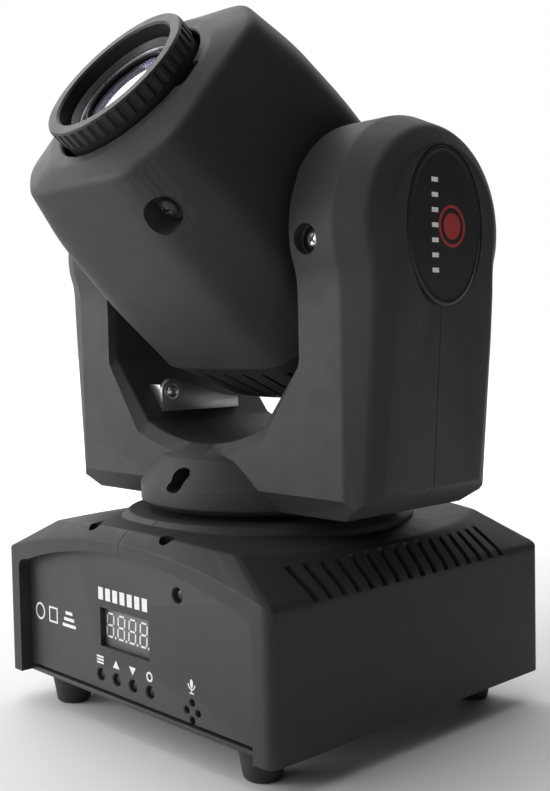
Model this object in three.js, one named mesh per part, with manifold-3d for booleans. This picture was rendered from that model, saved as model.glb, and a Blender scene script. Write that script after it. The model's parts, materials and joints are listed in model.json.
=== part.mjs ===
// A compact moving head light: a base with a menu panel, a yoke that pans on
// the base, and a head that tilts between the yoke's arms.
//
// Units are millimetres and +Z is up. The menu panel faces -Y. The origin is
// on the floor, in the middle of the whole light's footprint, so the pan axis
// stands a little behind it. Every part is modelled about the pan axis, and
// the head's parts about the tilt axis with the lens pointing along +Z.

import * as THREE from 'three';
import { mergeVertices } from 'three/addons/utils/BufferGeometryUtils.js';
import Module from 'manifold-3d';

const wasm = await Module();
wasm.setup();

// ---------------------------------------------------------------- dimensions

const GAP = 0.3;                  // clearance between neighbouring parts
const WALL = 2.4;                 // wall of the plastic covers
const SHEET = 1.6;                // sheet steel and circuit boards

const PAN_AXIS_Y = 8;             // pan axis behind the footprint's middle
const TILT_AXIS_Z = 178;          // tilt axis above the floor
const HEAD_ELEVATION = 39.8;      // lens above the horizontal at rest, degrees

const BASE_HALF_X = 77.5;
const BASE_HALF_Y = 71.4;
const BASE_CORNER = 4;            // radius of the base's upright corners
const BASE_BOTTOM = 12;
const ARCH_EDGE = 61;             // height of the front's arched edge at its ends
const ARCH_TOP = 72.1;            // and in the middle
const DECK_HALF_X = 54;           // the raised deck's corner
const DECK_HALF_Y = 63;
const DECK_BULGE_X = 14.5;        // how far its sides bow out in the middle
const DECK_BULGE_Y = 4;
const DECK_TOP = 76.1;
const DECK_FALL = 2.8;            // drop from the middle to the corners
const FRONT_WALL = 8;             // depth of the frame round each panel
const PANEL_INSET = 5;            // panel face behind the frame's face
const PANEL_HALF_X = 69;
const PANEL_SIDE_TOP = 50.8;      // top of the panel's straight sides
const PANEL_TOP = 67.5;
const PANEL_SHEET = 2;
const DECK_RING_R = 58;           // raised ring under the yoke
const DECK_RING_TOP = 77.8;
const DECK_HOLE_R = 30;

const FOOT_X = 56;
const FOOT_Y = 55.7;
const FOOT_TOP_R = 8.5;
const FOOT_BOTTOM_R = 6.3;

const BUTTON_R = 1.9;
const BUTTON_HOLE_R = 2.3;
const BUTTON_PITCH = 10.1;
const BUTTON_FIRST_X = -20.8;
const BUTTON_Z = 19.8;
const BUTTON_NAMES = ['menu_button', 'up_button', 'down_button', 'enter_button'];
const DISPLAY_X = -5.2;
const DISPLAY_Z = 38;
const DISPLAY_HALF_X = 15;
const DISPLAY_HALF_Z = 7.2;
const SENSOR_X = 26.2;
const SENSOR_Z = 56.8;
const SENSOR_HOLE_R = 2.7;
const MIC_X = 33;
const MIC_Z = 18.6;
const MIC_HOLE_R = 1.3;
const MIC_SPREAD = 3;

const SOCKET_Z = 34;
const XLR_IN_X = -50;
const XLR_OUT_X = -18;
const INLET_X = 30;

const PAN_SHAFT_R = 12.1;
const PAN_MOTOR_X = 40;
const PAN_MOTOR_Y = 20;
const PAN_FRAME_TOP = 54;
const PAN_BELT_Z = 61;
const BELT_WIDTH = 5;
const LARGE_PULLEY_R = 22;
const SMALL_PULLEY_R = 5.5;

const YOKE_BOTTOM = 82;
const YOKE_HALF_Y = 35.2;
const HUB_BOTTOM = 80;
const HUB_R = 49.3;
const ARM_INNER_X = 54.2;
const ARM_KNEE_X = 72;          // crease between the arm's two front facets
const ARM_LEAN = 0.0925;          // how much the outer side leans in per mm down
const ARM_LEAN_TOP = 152;
const BOSS_R = 38.8;
const KEYHOLE_X = 1.4;            // the keyhole slot's wide end
const KEYHOLE_Z = 93.2;
const ARM_SCREW_X = 62.5;
const ARM_SCREW_Z = 174.6;
const ARM_SCREW_Y = 33.5;         // seat of the screw heads
const SCREW_POCKET_R = 4.6;
const BADGE_Z = 178.5;
const BADGE_HALF_Y = 19.5;
const BADGE_HALF_Z = 26.5;

const FRAME_INNER_X = 57.2;       // upright plates of the yoke's steel frame
const FRAME_BOTTOM = 85;
const FRAME_HALF_Y = 18;
const FRAME_SHEET = 2;
const TILT_SHAFT_R = 8;
const TILT_SHAFT_END = 81;
const TILT_MOTOR_Z = 122;
const TILT_MOTOR_HALF = 17.5;
const TILT_MOTOR_LENGTH = 12.5;
const TILT_PULLEY_R = 18;
const TILT_MOTOR_PULLEY_R = 6;
const TILT_BELT_X = 76.3;

// Head, along its own axis from the tilt axis towards the lens.
const HEAD_CHAMFER = 0.3;         // share of a side taken by its corner facets
const HEAD_REAR = -12;
const HEAD_MIDDLE = 25;
const HEAD_SHOULDER = 76.7;
const HEAD_FACE = 80.5;
const HEAD_MOUTH_R = 31.2;
const HEAD_SCREW_X = 32;
const HEAD_SCREW_U = 58.8;
const FOCUS_LIP = 89;
const FOCUS_R = 29.8;
const FOCUS_BORE_R = 24.9;
const BARREL_R = 24;              // bore of the fixed lens barrel
const CELL_R = 23.4;              // sliding lens cell
const LENS_R = 20;
const CAP_REAR = -53;
const WHEEL_R = 26;               // colour and gobo wheels
const WHEEL_OFFSET = 16;          // their centres from the light beam
const COLOUR_WHEEL_U = 19.2;
const GOBO_WHEEL_U = 24.4;
const FAN_HALF = 25;
const FAN_U = -50;
const FAN_DEPTH = 10;
const CHASSIS_X = 42.8;

const RIGHT_ANGLE = Math.PI / 2;
const TURN = Math.PI * 2;
const UP = new THREE.Vector3(0, 0, 1);
const SHAFT_SIDES = 32;           // facets round a running shaft and its bearing
const FAR = 200;                  // longer than any part, for half-space cuts

// ----------------------------------------------------------------- materials

function finish(color, roughness, metalness = 0, extra = {}) {
  return new THREE.MeshStandardMaterial({ color, roughness, metalness, ...extra });
}

const housing = finish(0x343536, 0.62);
const panelPlastic = finish(0x3a3b3c, 0.55);
const innerPlastic = finish(0x1b1c1d, 0.5);
const rubber = finish(0x1a1a1a, 0.85);
const beltRubber = finish(0x151515, 0.9);
const steel = finish(0x9a9c9e, 0.4, 0.9);
const darkSteel = finish(0x2a2b2d, 0.45, 0.8);
const aluminium = finish(0xb6b8ba, 0.35, 0.9);
const badgeGloss = finish(0x141414, 0.2);
const circuitBoard = finish(0x1f5a35, 0.5);
const displayPlastic = finish(0x8d8f92, 0.3);
const lensGlass = finish(0xdfe8ee, 0.03, 0, { transparent: true, opacity: 0.35 });
const brass = finish(0xb99a4b, 0.35, 0.9);

// ----------------------------------------------------------- shape functions

// The same surface with one vertex where corners meet.
function welded(geometry) {
  const bare = geometry.clone();
  bare.deleteAttribute('normal');
  bare.deleteAttribute('uv');
  return mergeVertices(bare, 1e-4);
}

function toSolid(geometry) {
  const closed = welded(geometry);
  return new wasm.Manifold(new wasm.Mesh({
    numProp: 3,
    vertProperties: new Float32Array(closed.attributes.position.array),
    triVerts: new Uint32Array(closed.index.array),
  }));
}

function toGeometry(manifold) {
  const mesh = manifold.getMesh();
  const geometry = new THREE.BufferGeometry();
  geometry.setAttribute('position', new THREE.BufferAttribute(mesh.vertProperties, 3));
  geometry.setIndex(new THREE.BufferAttribute(mesh.triVerts, 1));
  return geometry;
}

function join(first, ...others) {
  return toGeometry(others.reduce((sum, next) => sum.add(toSolid(next)), toSolid(first)));
}

function cut(body, ...tools) {
  return toGeometry(tools.reduce((rest, tool) => rest.subtract(toSolid(tool)), toSolid(body)));
}

function common(first, second) {
  return toGeometry(toSolid(first).intersect(toSolid(second)));
}

function mirrorX(geometry) {
  const twin = welded(geometry).scale(-1, 1, 1);
  const order = twin.index.array;
  for (let i = 0; i < order.length; i += 3) {
    [order[i + 1], order[i + 2]] = [order[i + 2], order[i + 1]];
  }
  return twin;
}

// A box from its lowest to its highest corner.
function block(x0, y0, z0, x1, y1, z1) {
  const box = new THREE.BoxGeometry(x1 - x0, y1 - y0, z1 - z0);
  return box.translate((x0 + x1) / 2, (y0 + y1) / 2, (z0 + z1) / 2);
}

// A body turned about Z from [radius, height] pairs given from the bottom up.
function turned(profile, segments = 24) {
  const points = profile.map(([r, z]) => new THREE.Vector2(r, z));
  return new THREE.LatheGeometry(points, segments).rotateX(RIGHT_ANGLE);
}

function rod(radius, z0, z1, segments = 24) {
  return turned([[0, z0], [radius, z0], [radius, z1], [0, z1]], segments);
}

function ring(inner, outer, z0, z1, segments = 24) {
  return turned([[inner, z0], [outer, z0], [outer, z1], [inner, z1], [inner, z0]], segments);
}

const alongX = (geometry) => geometry.rotateY(RIGHT_ANGLE);      // +Z becomes +X
const alongY = (geometry) => geometry.rotateX(-RIGHT_ANGLE);     // +Z becomes +Y

function shapeOf(points) {
  return new THREE.Shape(points.map(([x, y]) => new THREE.Vector2(x, y)));
}

// A flat outline in X and Y made solid from z0 to z1.
function slabZ(shape, z0, z1, curveSegments = 3) {
  const solid = new THREE.ExtrudeGeometry(shape, { depth: z1 - z0, bevelEnabled: false, curveSegments });
  return solid.translate(0, 0, z0);
}

// A flat outline in X and Z made solid from y0 to y1.
function slabY(shape, y0, y1, curveSegments) {
  return slabZ(shape, -y1, -y0, curveSegments).rotateX(RIGHT_ANGLE);
}

// A flat outline in Y and Z made solid from x0 to x1.
function slabX(shape, x0, x1, curveSegments) {
  return slabZ(shape, x0, x1, curveSegments).rotateX(RIGHT_ANGLE).rotateZ(RIGHT_ANGLE);
}

// A closed skin through rings of equally many points, each running
// anticlockwise as seen from the last ring's side, with a flat fan at each end.
function loft(rings) {
  const count = rings[0].length;
  const vertices = rings.flat();
  const triangles = [];
  for (let level = 0; level + 1 < rings.length; level += 1) {
    for (let i = 0; i < count; i += 1) {
      const a = level * count + i;
      const b = level * count + (i + 1) % count;
      triangles.push(a, b, b + count, a, b + count, a + count);
    }
  }
  const capEnd = (ringPoints, start, flip) => {
    const hub = vertices.length;
    const middle = new THREE.Vector3();
    ringPoints.forEach((point) => middle.add(point));
    vertices.push(middle.divideScalar(count));
    for (let i = 0; i < count; i += 1) {
      const a = start + i;
      const b = start + (i + 1) % count;
      triangles.push(...(flip ? [hub, b, a] : [hub, a, b]));
    }
  };
  capEnd(rings[0], 0, true);
  capEnd(rings[rings.length - 1], (rings.length - 1) * count, false);
  const geometry = new THREE.BufferGeometry();
  const numbers = vertices.flatMap((p) => p.toArray());
  geometry.setAttribute('position', new THREE.Float32BufferAttribute(numbers, 3));
  geometry.setIndex(triangles);
  return geometry;
}

// Height of a shallow arch with the given ends and middle at a place across it.
function archHeight(across, halfSpan, endHeight, midHeight) {
  const rise = midHeight - endHeight;
  const radius = (halfSpan ** 2 + rise ** 2) / (2 * rise);
  return midHeight - radius + Math.sqrt(radius ** 2 - Math.min(Math.abs(across), halfSpan) ** 2);
}

// A ring round a rectangle with rounded corners and sides that bow outwards.
function boxRing(halfX, halfY, corner, sideSteps, heightAt, bulgeX = 0, bulgeY = 0) {
  const cornerSteps = 3;
  const points = [];
  const corners = [[1, 1], [-1, 1], [-1, -1], [1, -1]];
  corners.forEach(([signX, signY], index) => {
    const startAngle = index * RIGHT_ANGLE;
    for (let i = 0; i <= cornerSteps; i += 1) {
      const angle = startAngle + (i / cornerSteps) * RIGHT_ANGLE;
      const x = signX * (halfX - corner) + corner * Math.cos(angle);
      const y = signY * (halfY - corner) + corner * Math.sin(angle);
      points.push([x, y]);
    }
    const [nextX, nextY] = corners[(index + 1) % 4];
    const [lastX, lastY] = points[points.length - 1];
    const endX = nextX * (halfX - corner) + corner * Math.cos(startAngle + RIGHT_ANGLE);
    const endY = nextY * (halfY - corner) + corner * Math.sin(startAngle + RIGHT_ANGLE);
    for (let i = 1; i < sideSteps; i += 1) {
      const t = i / sideSteps;
      const bow = 4 * t * (1 - t);
      const outX = Math.cos(startAngle + RIGHT_ANGLE) * bulgeX * bow;
      const outY = Math.sin(startAngle + RIGHT_ANGLE) * bulgeY * bow;
      points.push([lastX + (endX - lastX) * t + outX, lastY + (endY - lastY) * t + outY]);
    }
  });
  return points.map(([x, y]) => new THREE.Vector3(x, y, heightAt(x, y)));
}

// A ring round a rectangle whose corners are cut off by facets, all softened.
function facetRing(halfX, halfY, height, count = 32) {
  const power = 16;
  const points = [];
  for (let i = 0; i < count; i += 1) {
    const angle = (i / count) * TURN;
    const across = Math.abs(Math.cos(angle)) / halfX;
    const along = Math.abs(Math.sin(angle)) / halfY;
    const corner = (across + along) / (2 - HEAD_CHAMFER);
    const reach = (across ** power + along ** power + corner ** power) ** (-1 / power);
    points.push(new THREE.Vector3(reach * Math.cos(angle), reach * Math.sin(angle), height));
  }
  return points;
}

function circleRing(radius, height, count = 32) {
  const point = (_, i) => new THREE.Vector3(radius, 0, height).applyAxisAngle(UP, (i / count) * TURN);
  return Array.from({ length: count }, point);
}

function roundedRectangle(halfX, halfY, corner) {
  const shape = new THREE.Shape();
  shape.moveTo(halfX, -halfY + corner);
  shape.lineTo(halfX, halfY - corner);
  shape.absarc(halfX - corner, halfY - corner, corner, 0, RIGHT_ANGLE);
  shape.lineTo(-halfX + corner, halfY);
  shape.absarc(-halfX + corner, halfY - corner, corner, RIGHT_ANGLE, Math.PI);
  shape.lineTo(-halfX, -halfY + corner);
  shape.absarc(-halfX + corner, -halfY + corner, corner, Math.PI, 3 * RIGHT_ANGLE);
  shape.lineTo(halfX - corner, -halfY);
  shape.absarc(halfX - corner, -halfY + corner, corner, 3 * RIGHT_ANGLE, TURN);
  return shape;
}

// A pan head screw with its head towards +Z and its head's underside at z = 0.
function screw(headR, shankR, shankLength) {
  return turned([
    [0, -shankLength],
    [shankR, -shankLength],
    [shankR, 0],
    [headR, 0],
    [headR, headR * 0.35],
    [headR * 0.6, headR * 0.75],
    [0, headR * 0.85],
  ], 12);
}

// ------------------------------------------------------------------ assembly

const light = new THREE.Group();
light.position.y = PAN_AXIS_Y;

const head = new THREE.Group();
head.position.z = TILT_AXIS_Z;
head.rotation.x = RIGHT_ANGLE - THREE.MathUtils.degToRad(HEAD_ELEVATION);
light.add(head);

function place(name, geometry, material, parent = light) {
  const mesh = new THREE.Mesh(geometry, material);
  mesh.name = name;
  parent.add(mesh);
}

// ---------------------------------------------------------------------- base

function baseForm(inset, frontInset, bottom) {
  const arch = (x) => archHeight(x, BASE_HALF_X, ARCH_EDGE, ARCH_TOP) - inset;
  const deck = (x) => DECK_TOP - DECK_FALL * (x / DECK_HALF_X) ** 2 - inset;
  const halfX = BASE_HALF_X - inset;
  const halfY = BASE_HALF_Y - frontInset;
  const corner = BASE_CORNER - inset / 2;
  const slopeInset = inset * 0.8;
  const deckHalfY = Math.min(DECK_HALF_Y - slopeInset, halfY - DECK_BULGE_Y - 1);
  const sideSteps = inset > 0 ? 4 : 8;
  return loft([
    boxRing(halfX, halfY, corner, sideSteps, () => bottom),
    boxRing(halfX, halfY, corner, sideSteps, arch),
    boxRing(DECK_HALF_X - slopeInset, deckHalfY, 3, sideSteps, deck, DECK_BULGE_X, DECK_BULGE_Y),
  ]);
}

// The outline of the front and rear openings, grown by a margin.
function panelShape(margin, bottom) {
  const halfX = PANEL_HALF_X + margin;
  const shoulderX = PANEL_HALF_X - 7;
  const shoulderZ = 58.1 + margin;
  const shape = new THREE.Shape();
  shape.moveTo(-halfX, bottom);
  shape.lineTo(halfX, bottom);
  shape.lineTo(halfX, PANEL_SIDE_TOP);
  shape.quadraticCurveTo(halfX, shoulderZ - 1.5, shoulderX, shoulderZ);
  const steps = 12;
  for (let i = 1; i < steps; i += 1) {
    const x = shoulderX * (1 - 2 * i / steps);
    shape.lineTo(x, archHeight(x, shoulderX, shoulderZ, PANEL_TOP + margin));
  }
  shape.lineTo(-shoulderX, shoulderZ);
  shape.quadraticCurveTo(-halfX, shoulderZ - 1.5, -halfX, PANEL_SIDE_TOP);
  return shape;
}

// One slanted slot through the side slope, cut in a plane across the base.
function ventSlot(y) {
  const reach = 1 - (y / DECK_HALF_Y) ** 2;
  const topX = 62.5 + 8 * reach;
  const topZ = 71 - 4 * reach;
  const shape = shapeOf([
    [BASE_HALF_X + 1, 60],
    [BASE_HALF_X + 1, 64],
    [topX + 2, topZ + 4],
    [topX, topZ + 3],
    [topX - 1, topZ - 4],
    [BASE_HALF_X - 5, 60],
  ]);
  return slabY(shape, y - 1.1, y + 1.1);
}

function baseShell(side) {
  const frontFace = -BASE_HALF_Y + PANEL_INSET;
  const rim = turned([
    [0, DECK_TOP - 6],
    [DECK_RING_R + 3, DECK_TOP - 6],
    [DECK_RING_R + 3, DECK_TOP - 0.8],
    [DECK_RING_R, DECK_RING_TOP],
    [0, DECK_RING_TOP],
  ], 40);
  const pocket = rod(3.2, -7, 10, 12).translate(21.3, -65.4, 75);
  const pocketTail = alongY(rod(1.6, 0, 8, 8)).rotateX(0.06).translate(21.3, -65, 75.8);
  const outer = join(baseForm(0, 0, BASE_BOTTOM), rim);
  let shell = cut(
    outer,
    baseForm(WALL, FRONT_WALL, BASE_BOTTOM - 1),
    slabY(panelShape(0, BASE_BOTTOM - 1), -BASE_HALF_Y - 1, BASE_HALF_Y + 1),
    slabY(panelShape(2.5, BASE_BOTTOM - 1), frontFace, -frontFace),
    rod(DECK_HOLE_R, 50, 90),
    side > 0 ? block(-FAR, -FAR, 0, GAP / 2, FAR, FAR) : block(-GAP / 2, -FAR, 0, FAR, FAR, FAR),
    side > 0 ? pocket : mirrorX(pocket),
    side > 0 ? pocketTail : mirrorX(pocketTail),
  );
  const slotCount = 16;
  const slotPitch = 6.5;
  for (let i = 0; i < slotCount; i += 1) {
    const slot = ventSlot((i - (slotCount - 1) / 2) * slotPitch - 2);
    shell = cut(shell, side > 0 ? slot : mirrorX(slot));
  }
  return shell;
}

function basePlate() {
  const inner = BASE_HALF_X - WALL - GAP;
  const tabX = PANEL_HALF_X - GAP;
  const bodyY = BASE_HALF_Y - FRONT_WALL - GAP;
  const tabY = BASE_HALF_Y - PANEL_INSET + 0.6;
  const cornerY = 4;
  const outline = shapeOf([
    [inner, cornerY - bodyY], [inner, bodyY - cornerY], [tabX, bodyY], [tabX, tabY],
    [-tabX, tabY], [-tabX, bodyY], [-inner, bodyY - cornerY], [-inner, cornerY - bodyY],
    [-tabX, -bodyY], [-tabX, -tabY], [tabX, -tabY], [tabX, -bodyY],
  ]);
  for (const x of [-40, 40]) {
    for (const y of [-25, 25]) {
      outline.holes.push(new THREE.Path().absarc(x, y, 4, 0, TURN, true));
    }
  }
  return slabZ(outline, BASE_BOTTOM, BASE_BOTTOM + SHEET);
}

function foot() {
  const top = BASE_BOTTOM - GAP;
  return turned([
    [0, 5],
    [2.6, 5],
    [2.6, 0],
    [FOOT_BOTTOM_R - 0.8, 0],
    [FOOT_BOTTOM_R, 0.8],
    [FOOT_TOP_R, top],
    [0, top],
  ], 16);
}

function frontPanel() {
  const shape = panelShape(2.2, BASE_BOTTOM + SHEET + GAP);
  const hole = (x, z, radius) => shape.holes.push(new THREE.Path().absarc(x, z, radius, 0, TURN, true));
  BUTTON_NAMES.forEach((_, i) => hole(BUTTON_FIRST_X + i * BUTTON_PITCH, BUTTON_Z, BUTTON_HOLE_R));
  hole(SENSOR_X, SENSOR_Z, SENSOR_HOLE_R);
  hole(MIC_X, MIC_Z + MIC_SPREAD, MIC_HOLE_R);
  hole(MIC_X, MIC_Z - MIC_SPREAD, MIC_HOLE_R);
  hole(MIC_X + MIC_SPREAD, MIC_Z, MIC_HOLE_R);
  hole(MIC_X - MIC_SPREAD, MIC_Z, MIC_HOLE_R);
  const left = DISPLAY_X - DISPLAY_HALF_X;
  const right = DISPLAY_X + DISPLAY_HALF_X;
  const low = DISPLAY_Z - DISPLAY_HALF_Z;
  const high = DISPLAY_Z + DISPLAY_HALF_Z;
  const window = [[left, low], [left, high], [right, high], [right, low]];
  shape.holes.push(new THREE.Path(window.map(([x, z]) => new THREE.Vector2(x, z))));
  const face = -BASE_HALF_Y + PANEL_INSET + 0.2;
  return slabY(shape, face, face + PANEL_SHEET, 5);
}

function rearPanel() {
  const shape = panelShape(2.2, BASE_BOTTOM + SHEET + GAP);
  const hole = (x, radius) => shape.holes.push(new THREE.Path().absarc(x, SOCKET_Z, radius, 0, TURN, true));
  hole(XLR_IN_X, 12.3);
  hole(XLR_OUT_X, 12.3);
  const inletCentre = new THREE.Vector2(INLET_X, SOCKET_Z);
  const inlet = roundedRectangle(14.5, 10.5, 2).getPoints(3).map((p) => p.add(inletCentre));
  shape.holes.push(new THREE.Path(inlet.reverse()));
  const face = BASE_HALF_Y - PANEL_INSET - 0.2;
  return slabY(shape, face - PANEL_SHEET, face, 6);
}

// Rear sockets are modelled with their mouth towards +Z and the panel's outer
// face at z = 0, then turned to face +Y.
const REAR_FACE = BASE_HALF_Y - PANEL_INSET - 0.2;

function socketAt(geometry, x) {
  return geometry.rotateX(-RIGHT_ANGLE).translate(x, REAR_FACE, SOCKET_Z);
}

function xlrInput() {
  const flange = slabZ(roundedRectangle(13, 15.5, 2), GAP, 2.3);
  const barrel = rod(11.6, -19, 1, 24);
  const pins = [0, 1, 2].map((i) => {
    const angle = -RIGHT_ANGLE + (i - 1) * 1.2;
    return rod(1.2, -17, -3, 8).translate(5 * Math.cos(angle), 5 * Math.sin(angle), 0);
  });
  return join(cut(join(flange, barrel), rod(9.6, -16, 5, 24)), ...pins);
}

function xlrOutput() {
  const flange = slabZ(roundedRectangle(13, 15.5, 2), GAP, 2.3);
  const barrel = rod(11.6, -19, 1, 24);
  const holes = [0, 1, 2].map((i) => {
    const angle = -RIGHT_ANGLE + (i - 1) * 1.2;
    return rod(1.4, -14, 5, 8).translate(5 * Math.cos(angle), 5 * Math.sin(angle), 0);
  });
  return cut(join(flange, barrel), ring(9, 9.8, -12, 5, 24), ...holes);
}

function powerInlet() {
  const flange = slabZ(roundedRectangle(17.5, 14, 3), GAP, 2.8);
  const body = slabZ(roundedRectangle(14, 10, 1.8), -20, 1);
  const hollow = slabZ(roundedRectangle(12, 8, 1.5), -16, 5);
  const blades = [-7, 0, 7].map((x) => block(x - 1, x ? -3.5 : -0.5, -17, x + 1, x ? 0.5 : 3.5, -3));
  return join(cut(join(flange, body), hollow), ...blades);
}

function powerSupply() {
  const board = block(-58, 6, 19, 14, 43, 19 + SHEET);
  const transformer = block(-20, 16, 20, 8, 38, 44);
  const capacitor = rod(9, 20, 45, 16).translate(-38, 28, 0);
  const heatPlate = block(-56, 8, 20, -52, 40, 40);
  return join(board, transformer, capacitor, heatPlate);
}

function mainBoard() {
  const board = block(-58, -44, 19, 14, 2, 19 + SHEET);
  const processor = block(-10, -30, 20, 4, -16, 22.5);
  const plugs = [-50, -38, -26].map((x) => block(x, -40, 20, x + 8, -34, 30));
  return join(board, processor, ...plugs);
}

const BUTTON_SWITCH_FACE = -58.6;
const DISPLAY_BOARD_FACE = -56;

function displayBoard() {
  const board = block(-45, DISPLAY_BOARD_FACE, 16, 45, DISPLAY_BOARD_FACE + SHEET, 64);
  const switches = BUTTON_NAMES.map((_, i) => {
    const x = BUTTON_FIRST_X + i * BUTTON_PITCH;
    return block(x - 3, BUTTON_SWITCH_FACE, BUTTON_Z - 3, x + 3, DISPLAY_BOARD_FACE + 0.5, BUTTON_Z + 3);
  });
  const capsule = (x, z, radius) => {
    const body = rod(radius, -63.9, DISPLAY_BOARD_FACE + 0.5, 12);
    return alongY(body).translate(x, 0, z);
  };
  return join(board, ...switches, capsule(MIC_X, MIC_Z, 5), capsule(SENSOR_X, SENSOR_Z, 4));
}

function displayModule() {
  const rim = 0.6;
  return block(
    DISPLAY_X - DISPLAY_HALF_X - rim, -63.9, DISPLAY_Z - DISPLAY_HALF_Z - rim,
    DISPLAY_X + DISPLAY_HALF_X + rim, DISPLAY_BOARD_FACE - GAP, DISPLAY_Z + DISPLAY_HALF_Z + rim,
  );
}

function menuButton() {
  const face = -66;
  const back = BUTTON_SWITCH_FACE - 1.1;
  const profile = [
    [0, face],
    [BUTTON_R, face],
    [BUTTON_R, -63.8],
    [3, -63.8],
    [3, -62.6],
    [BUTTON_R, -62.6],
    [BUTTON_R, back],
    [0, back],
  ];
  return alongY(turned(profile, 12));
}

// A folded steel sheet that carries the pan bearing and the pan motor.
function panFrame() {
  const half = 63;
  const low = BASE_BOTTOM + SHEET + GAP;
  const top = PAN_FRAME_TOP;
  const profile = shapeOf([
    [-half - 8, low], [-half, low], [-half, top - 2], [half, top - 2], [half, low], [half + 8, low],
    [half + 8, low + 2], [half + 2, low + 2], [half + 2, top], [-half - 2, top], [-half - 2, low + 2],
    [-half - 8, low + 2],
  ]);
  return cut(
    slabY(profile, -36, 40),
    rod(19, 40, 60),
    rod(11.6, 40, 60).translate(PAN_MOTOR_X, PAN_MOTOR_Y, 0),
  );
}

function panBearing() {
  return turned([
    [PAN_SHAFT_R + 0.1, 47], [18.6, 47], [18.6, PAN_FRAME_TOP + GAP], [24, PAN_FRAME_TOP + GAP],
    [24, 56], [PAN_SHAFT_R + 0.1, 56], [PAN_SHAFT_R + 0.1, 47],
  ], SHAFT_SIDES);
}

function stepper(half, length, bossR) {
  const corner = 4;
  const can = slabZ(roundedRectangle(half, half, corner), -length, 0);
  return join(can, rod(bossR, -1, 1.8), rod(2.5, 0, 14, 12));
}

function panMotor() {
  return stepper(21, 34, 11).translate(PAN_MOTOR_X, PAN_MOTOR_Y, PAN_FRAME_TOP - 2 - GAP);
}

// A pulley about Z with a rim at each side of its belt, centred on z = 0.
function pulley(bore, radius, rimR, segments) {
  const half = BELT_WIDTH / 2 + 0.4;
  return turned([
    [bore, -half - 1], [rimR, -half - 1], [rimR, -half], [radius, -half], [radius, half],
    [rimR, half], [rimR, half + 1], [bore, half + 1], [bore, -half - 1],
  ], segments);
}

// A belt round a large pulley at the origin and a small one out along +X.
function belt(largeR, smallR, distance) {
  const tilt = Math.acos((largeR - smallR) / distance);
  const loop = (path, grow) => {
    path.absarc(0, 0, largeR + grow, tilt, TURN - tilt, false);
    path.absarc(distance, 0, smallR + grow, -tilt, tilt, false);
    return path;
  };
  const outside = loop(new THREE.Shape(), 1.6);
  outside.holes.push(loop(new THREE.Path(), GAP));
  return slabZ(outside, -BELT_WIDTH / 2, BELT_WIDTH / 2, 8);
}

const PAN_BELT_LENGTH = Math.hypot(PAN_MOTOR_X, PAN_MOTOR_Y);
const PAN_BELT_ANGLE = Math.atan2(PAN_MOTOR_Y, PAN_MOTOR_X);

function buildBase() {
  place('base_shell_left', baseShell(-1), housing);
  place('base_shell_right', baseShell(1), housing);
  place('base_plate', basePlate(), darkSteel);
  for (const [xName, signX] of [['left', -1], ['right', 1]]) {
    for (const [yName, signY] of [['front', -1], ['rear', 1]]) {
      place(`foot_${yName}_${xName}`, foot().translate(signX * FOOT_X, signY * FOOT_Y, 0), rubber);
    }
  }
  place('front_panel', frontPanel(), panelPlastic);
  place('rear_panel', rearPanel(), panelPlastic);
  place('display_module', displayModule(), displayPlastic);
  place('display_board', displayBoard(), circuitBoard);
  BUTTON_NAMES.forEach((name, i) => {
    place(name, menuButton().translate(BUTTON_FIRST_X + i * BUTTON_PITCH, 0, BUTTON_Z), innerPlastic);
  });
  place('dmx_input', socketAt(xlrInput(), XLR_IN_X), innerPlastic);
  place('dmx_output', socketAt(xlrOutput(), XLR_OUT_X), innerPlastic);
  place('power_inlet', socketAt(powerInlet(), INLET_X), innerPlastic);
  place('power_supply', powerSupply(), circuitBoard);
  place('main_board', mainBoard(), circuitBoard);
  place('pan_frame', panFrame(), steel);
  place('pan_bearing', panBearing(), brass);
  place('pan_motor', panMotor(), darkSteel);
  const panBelt = belt(LARGE_PULLEY_R, SMALL_PULLEY_R, PAN_BELT_LENGTH);
  place('pan_belt', panBelt.rotateZ(PAN_BELT_ANGLE).translate(0, 0, PAN_BELT_Z), beltRubber);
  const motorPulley = pulley(2.8, SMALL_PULLEY_R, SMALL_PULLEY_R + 2, 12);
  place('pan_motor_pulley', motorPulley.translate(PAN_MOTOR_X, PAN_MOTOR_Y, PAN_BELT_Z), aluminium);
}

// ---------------------------------------------------------------------- yoke

// The right arm: upright sections with a round top, stacked outwards along X.
function armForm(inset) {
  const section = (x, bossR, halfY) => {
    const radius = bossR - inset;
    const half = halfY - inset;
    const flare = Math.acos(half / radius);
    const lean = ARM_LEAN * Math.max(0, (x - ARM_KNEE_X) / 16);
    const outline = [[half, YOKE_BOTTOM + inset]];
    const arcSteps = inset > 0 ? 8 : 14;
    for (let i = 0; i <= arcSteps; i += 1) {
      const angle = -flare + (i / arcSteps) * (Math.PI + 2 * flare);
      outline.push([radius * Math.cos(angle), TILT_AXIS_Z + radius * Math.sin(angle)]);
    }
    outline.push([-half, YOKE_BOTTOM + inset]);
    return outline.map(([y, z]) => new THREE.Vector3(x - lean * Math.max(0, ARM_LEAN_TOP - z), y, z));
  };
  return loft([
    section(ARM_INNER_X + inset, BOSS_R, YOKE_HALF_Y),
    section(ARM_KNEE_X, BOSS_R, YOKE_HALF_Y),
    section(85.6 - inset, 34, 31.2),
    section(89.6 - inset, 27, 25.5),
  ]);
}

// The gap between the arms, as seen from the front, grown by a margin.
function gapOutline(grow) {
  const side = [
    [ARM_INNER_X + grow, 260],
    [ARM_INNER_X + grow, 136 - grow * 0.5],
    [33.8 + grow * 0.6, 111.4 - grow * 0.9],
    [26 + grow * 0.45, 107.8 - grow],
    [16 + grow * 0.2, 105.4 - grow],
  ];
  const mirrored = side.map(([x, z]) => [-x, z]).reverse();
  return [...side, [0, 104.1 - grow], ...mirrored];
}

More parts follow.
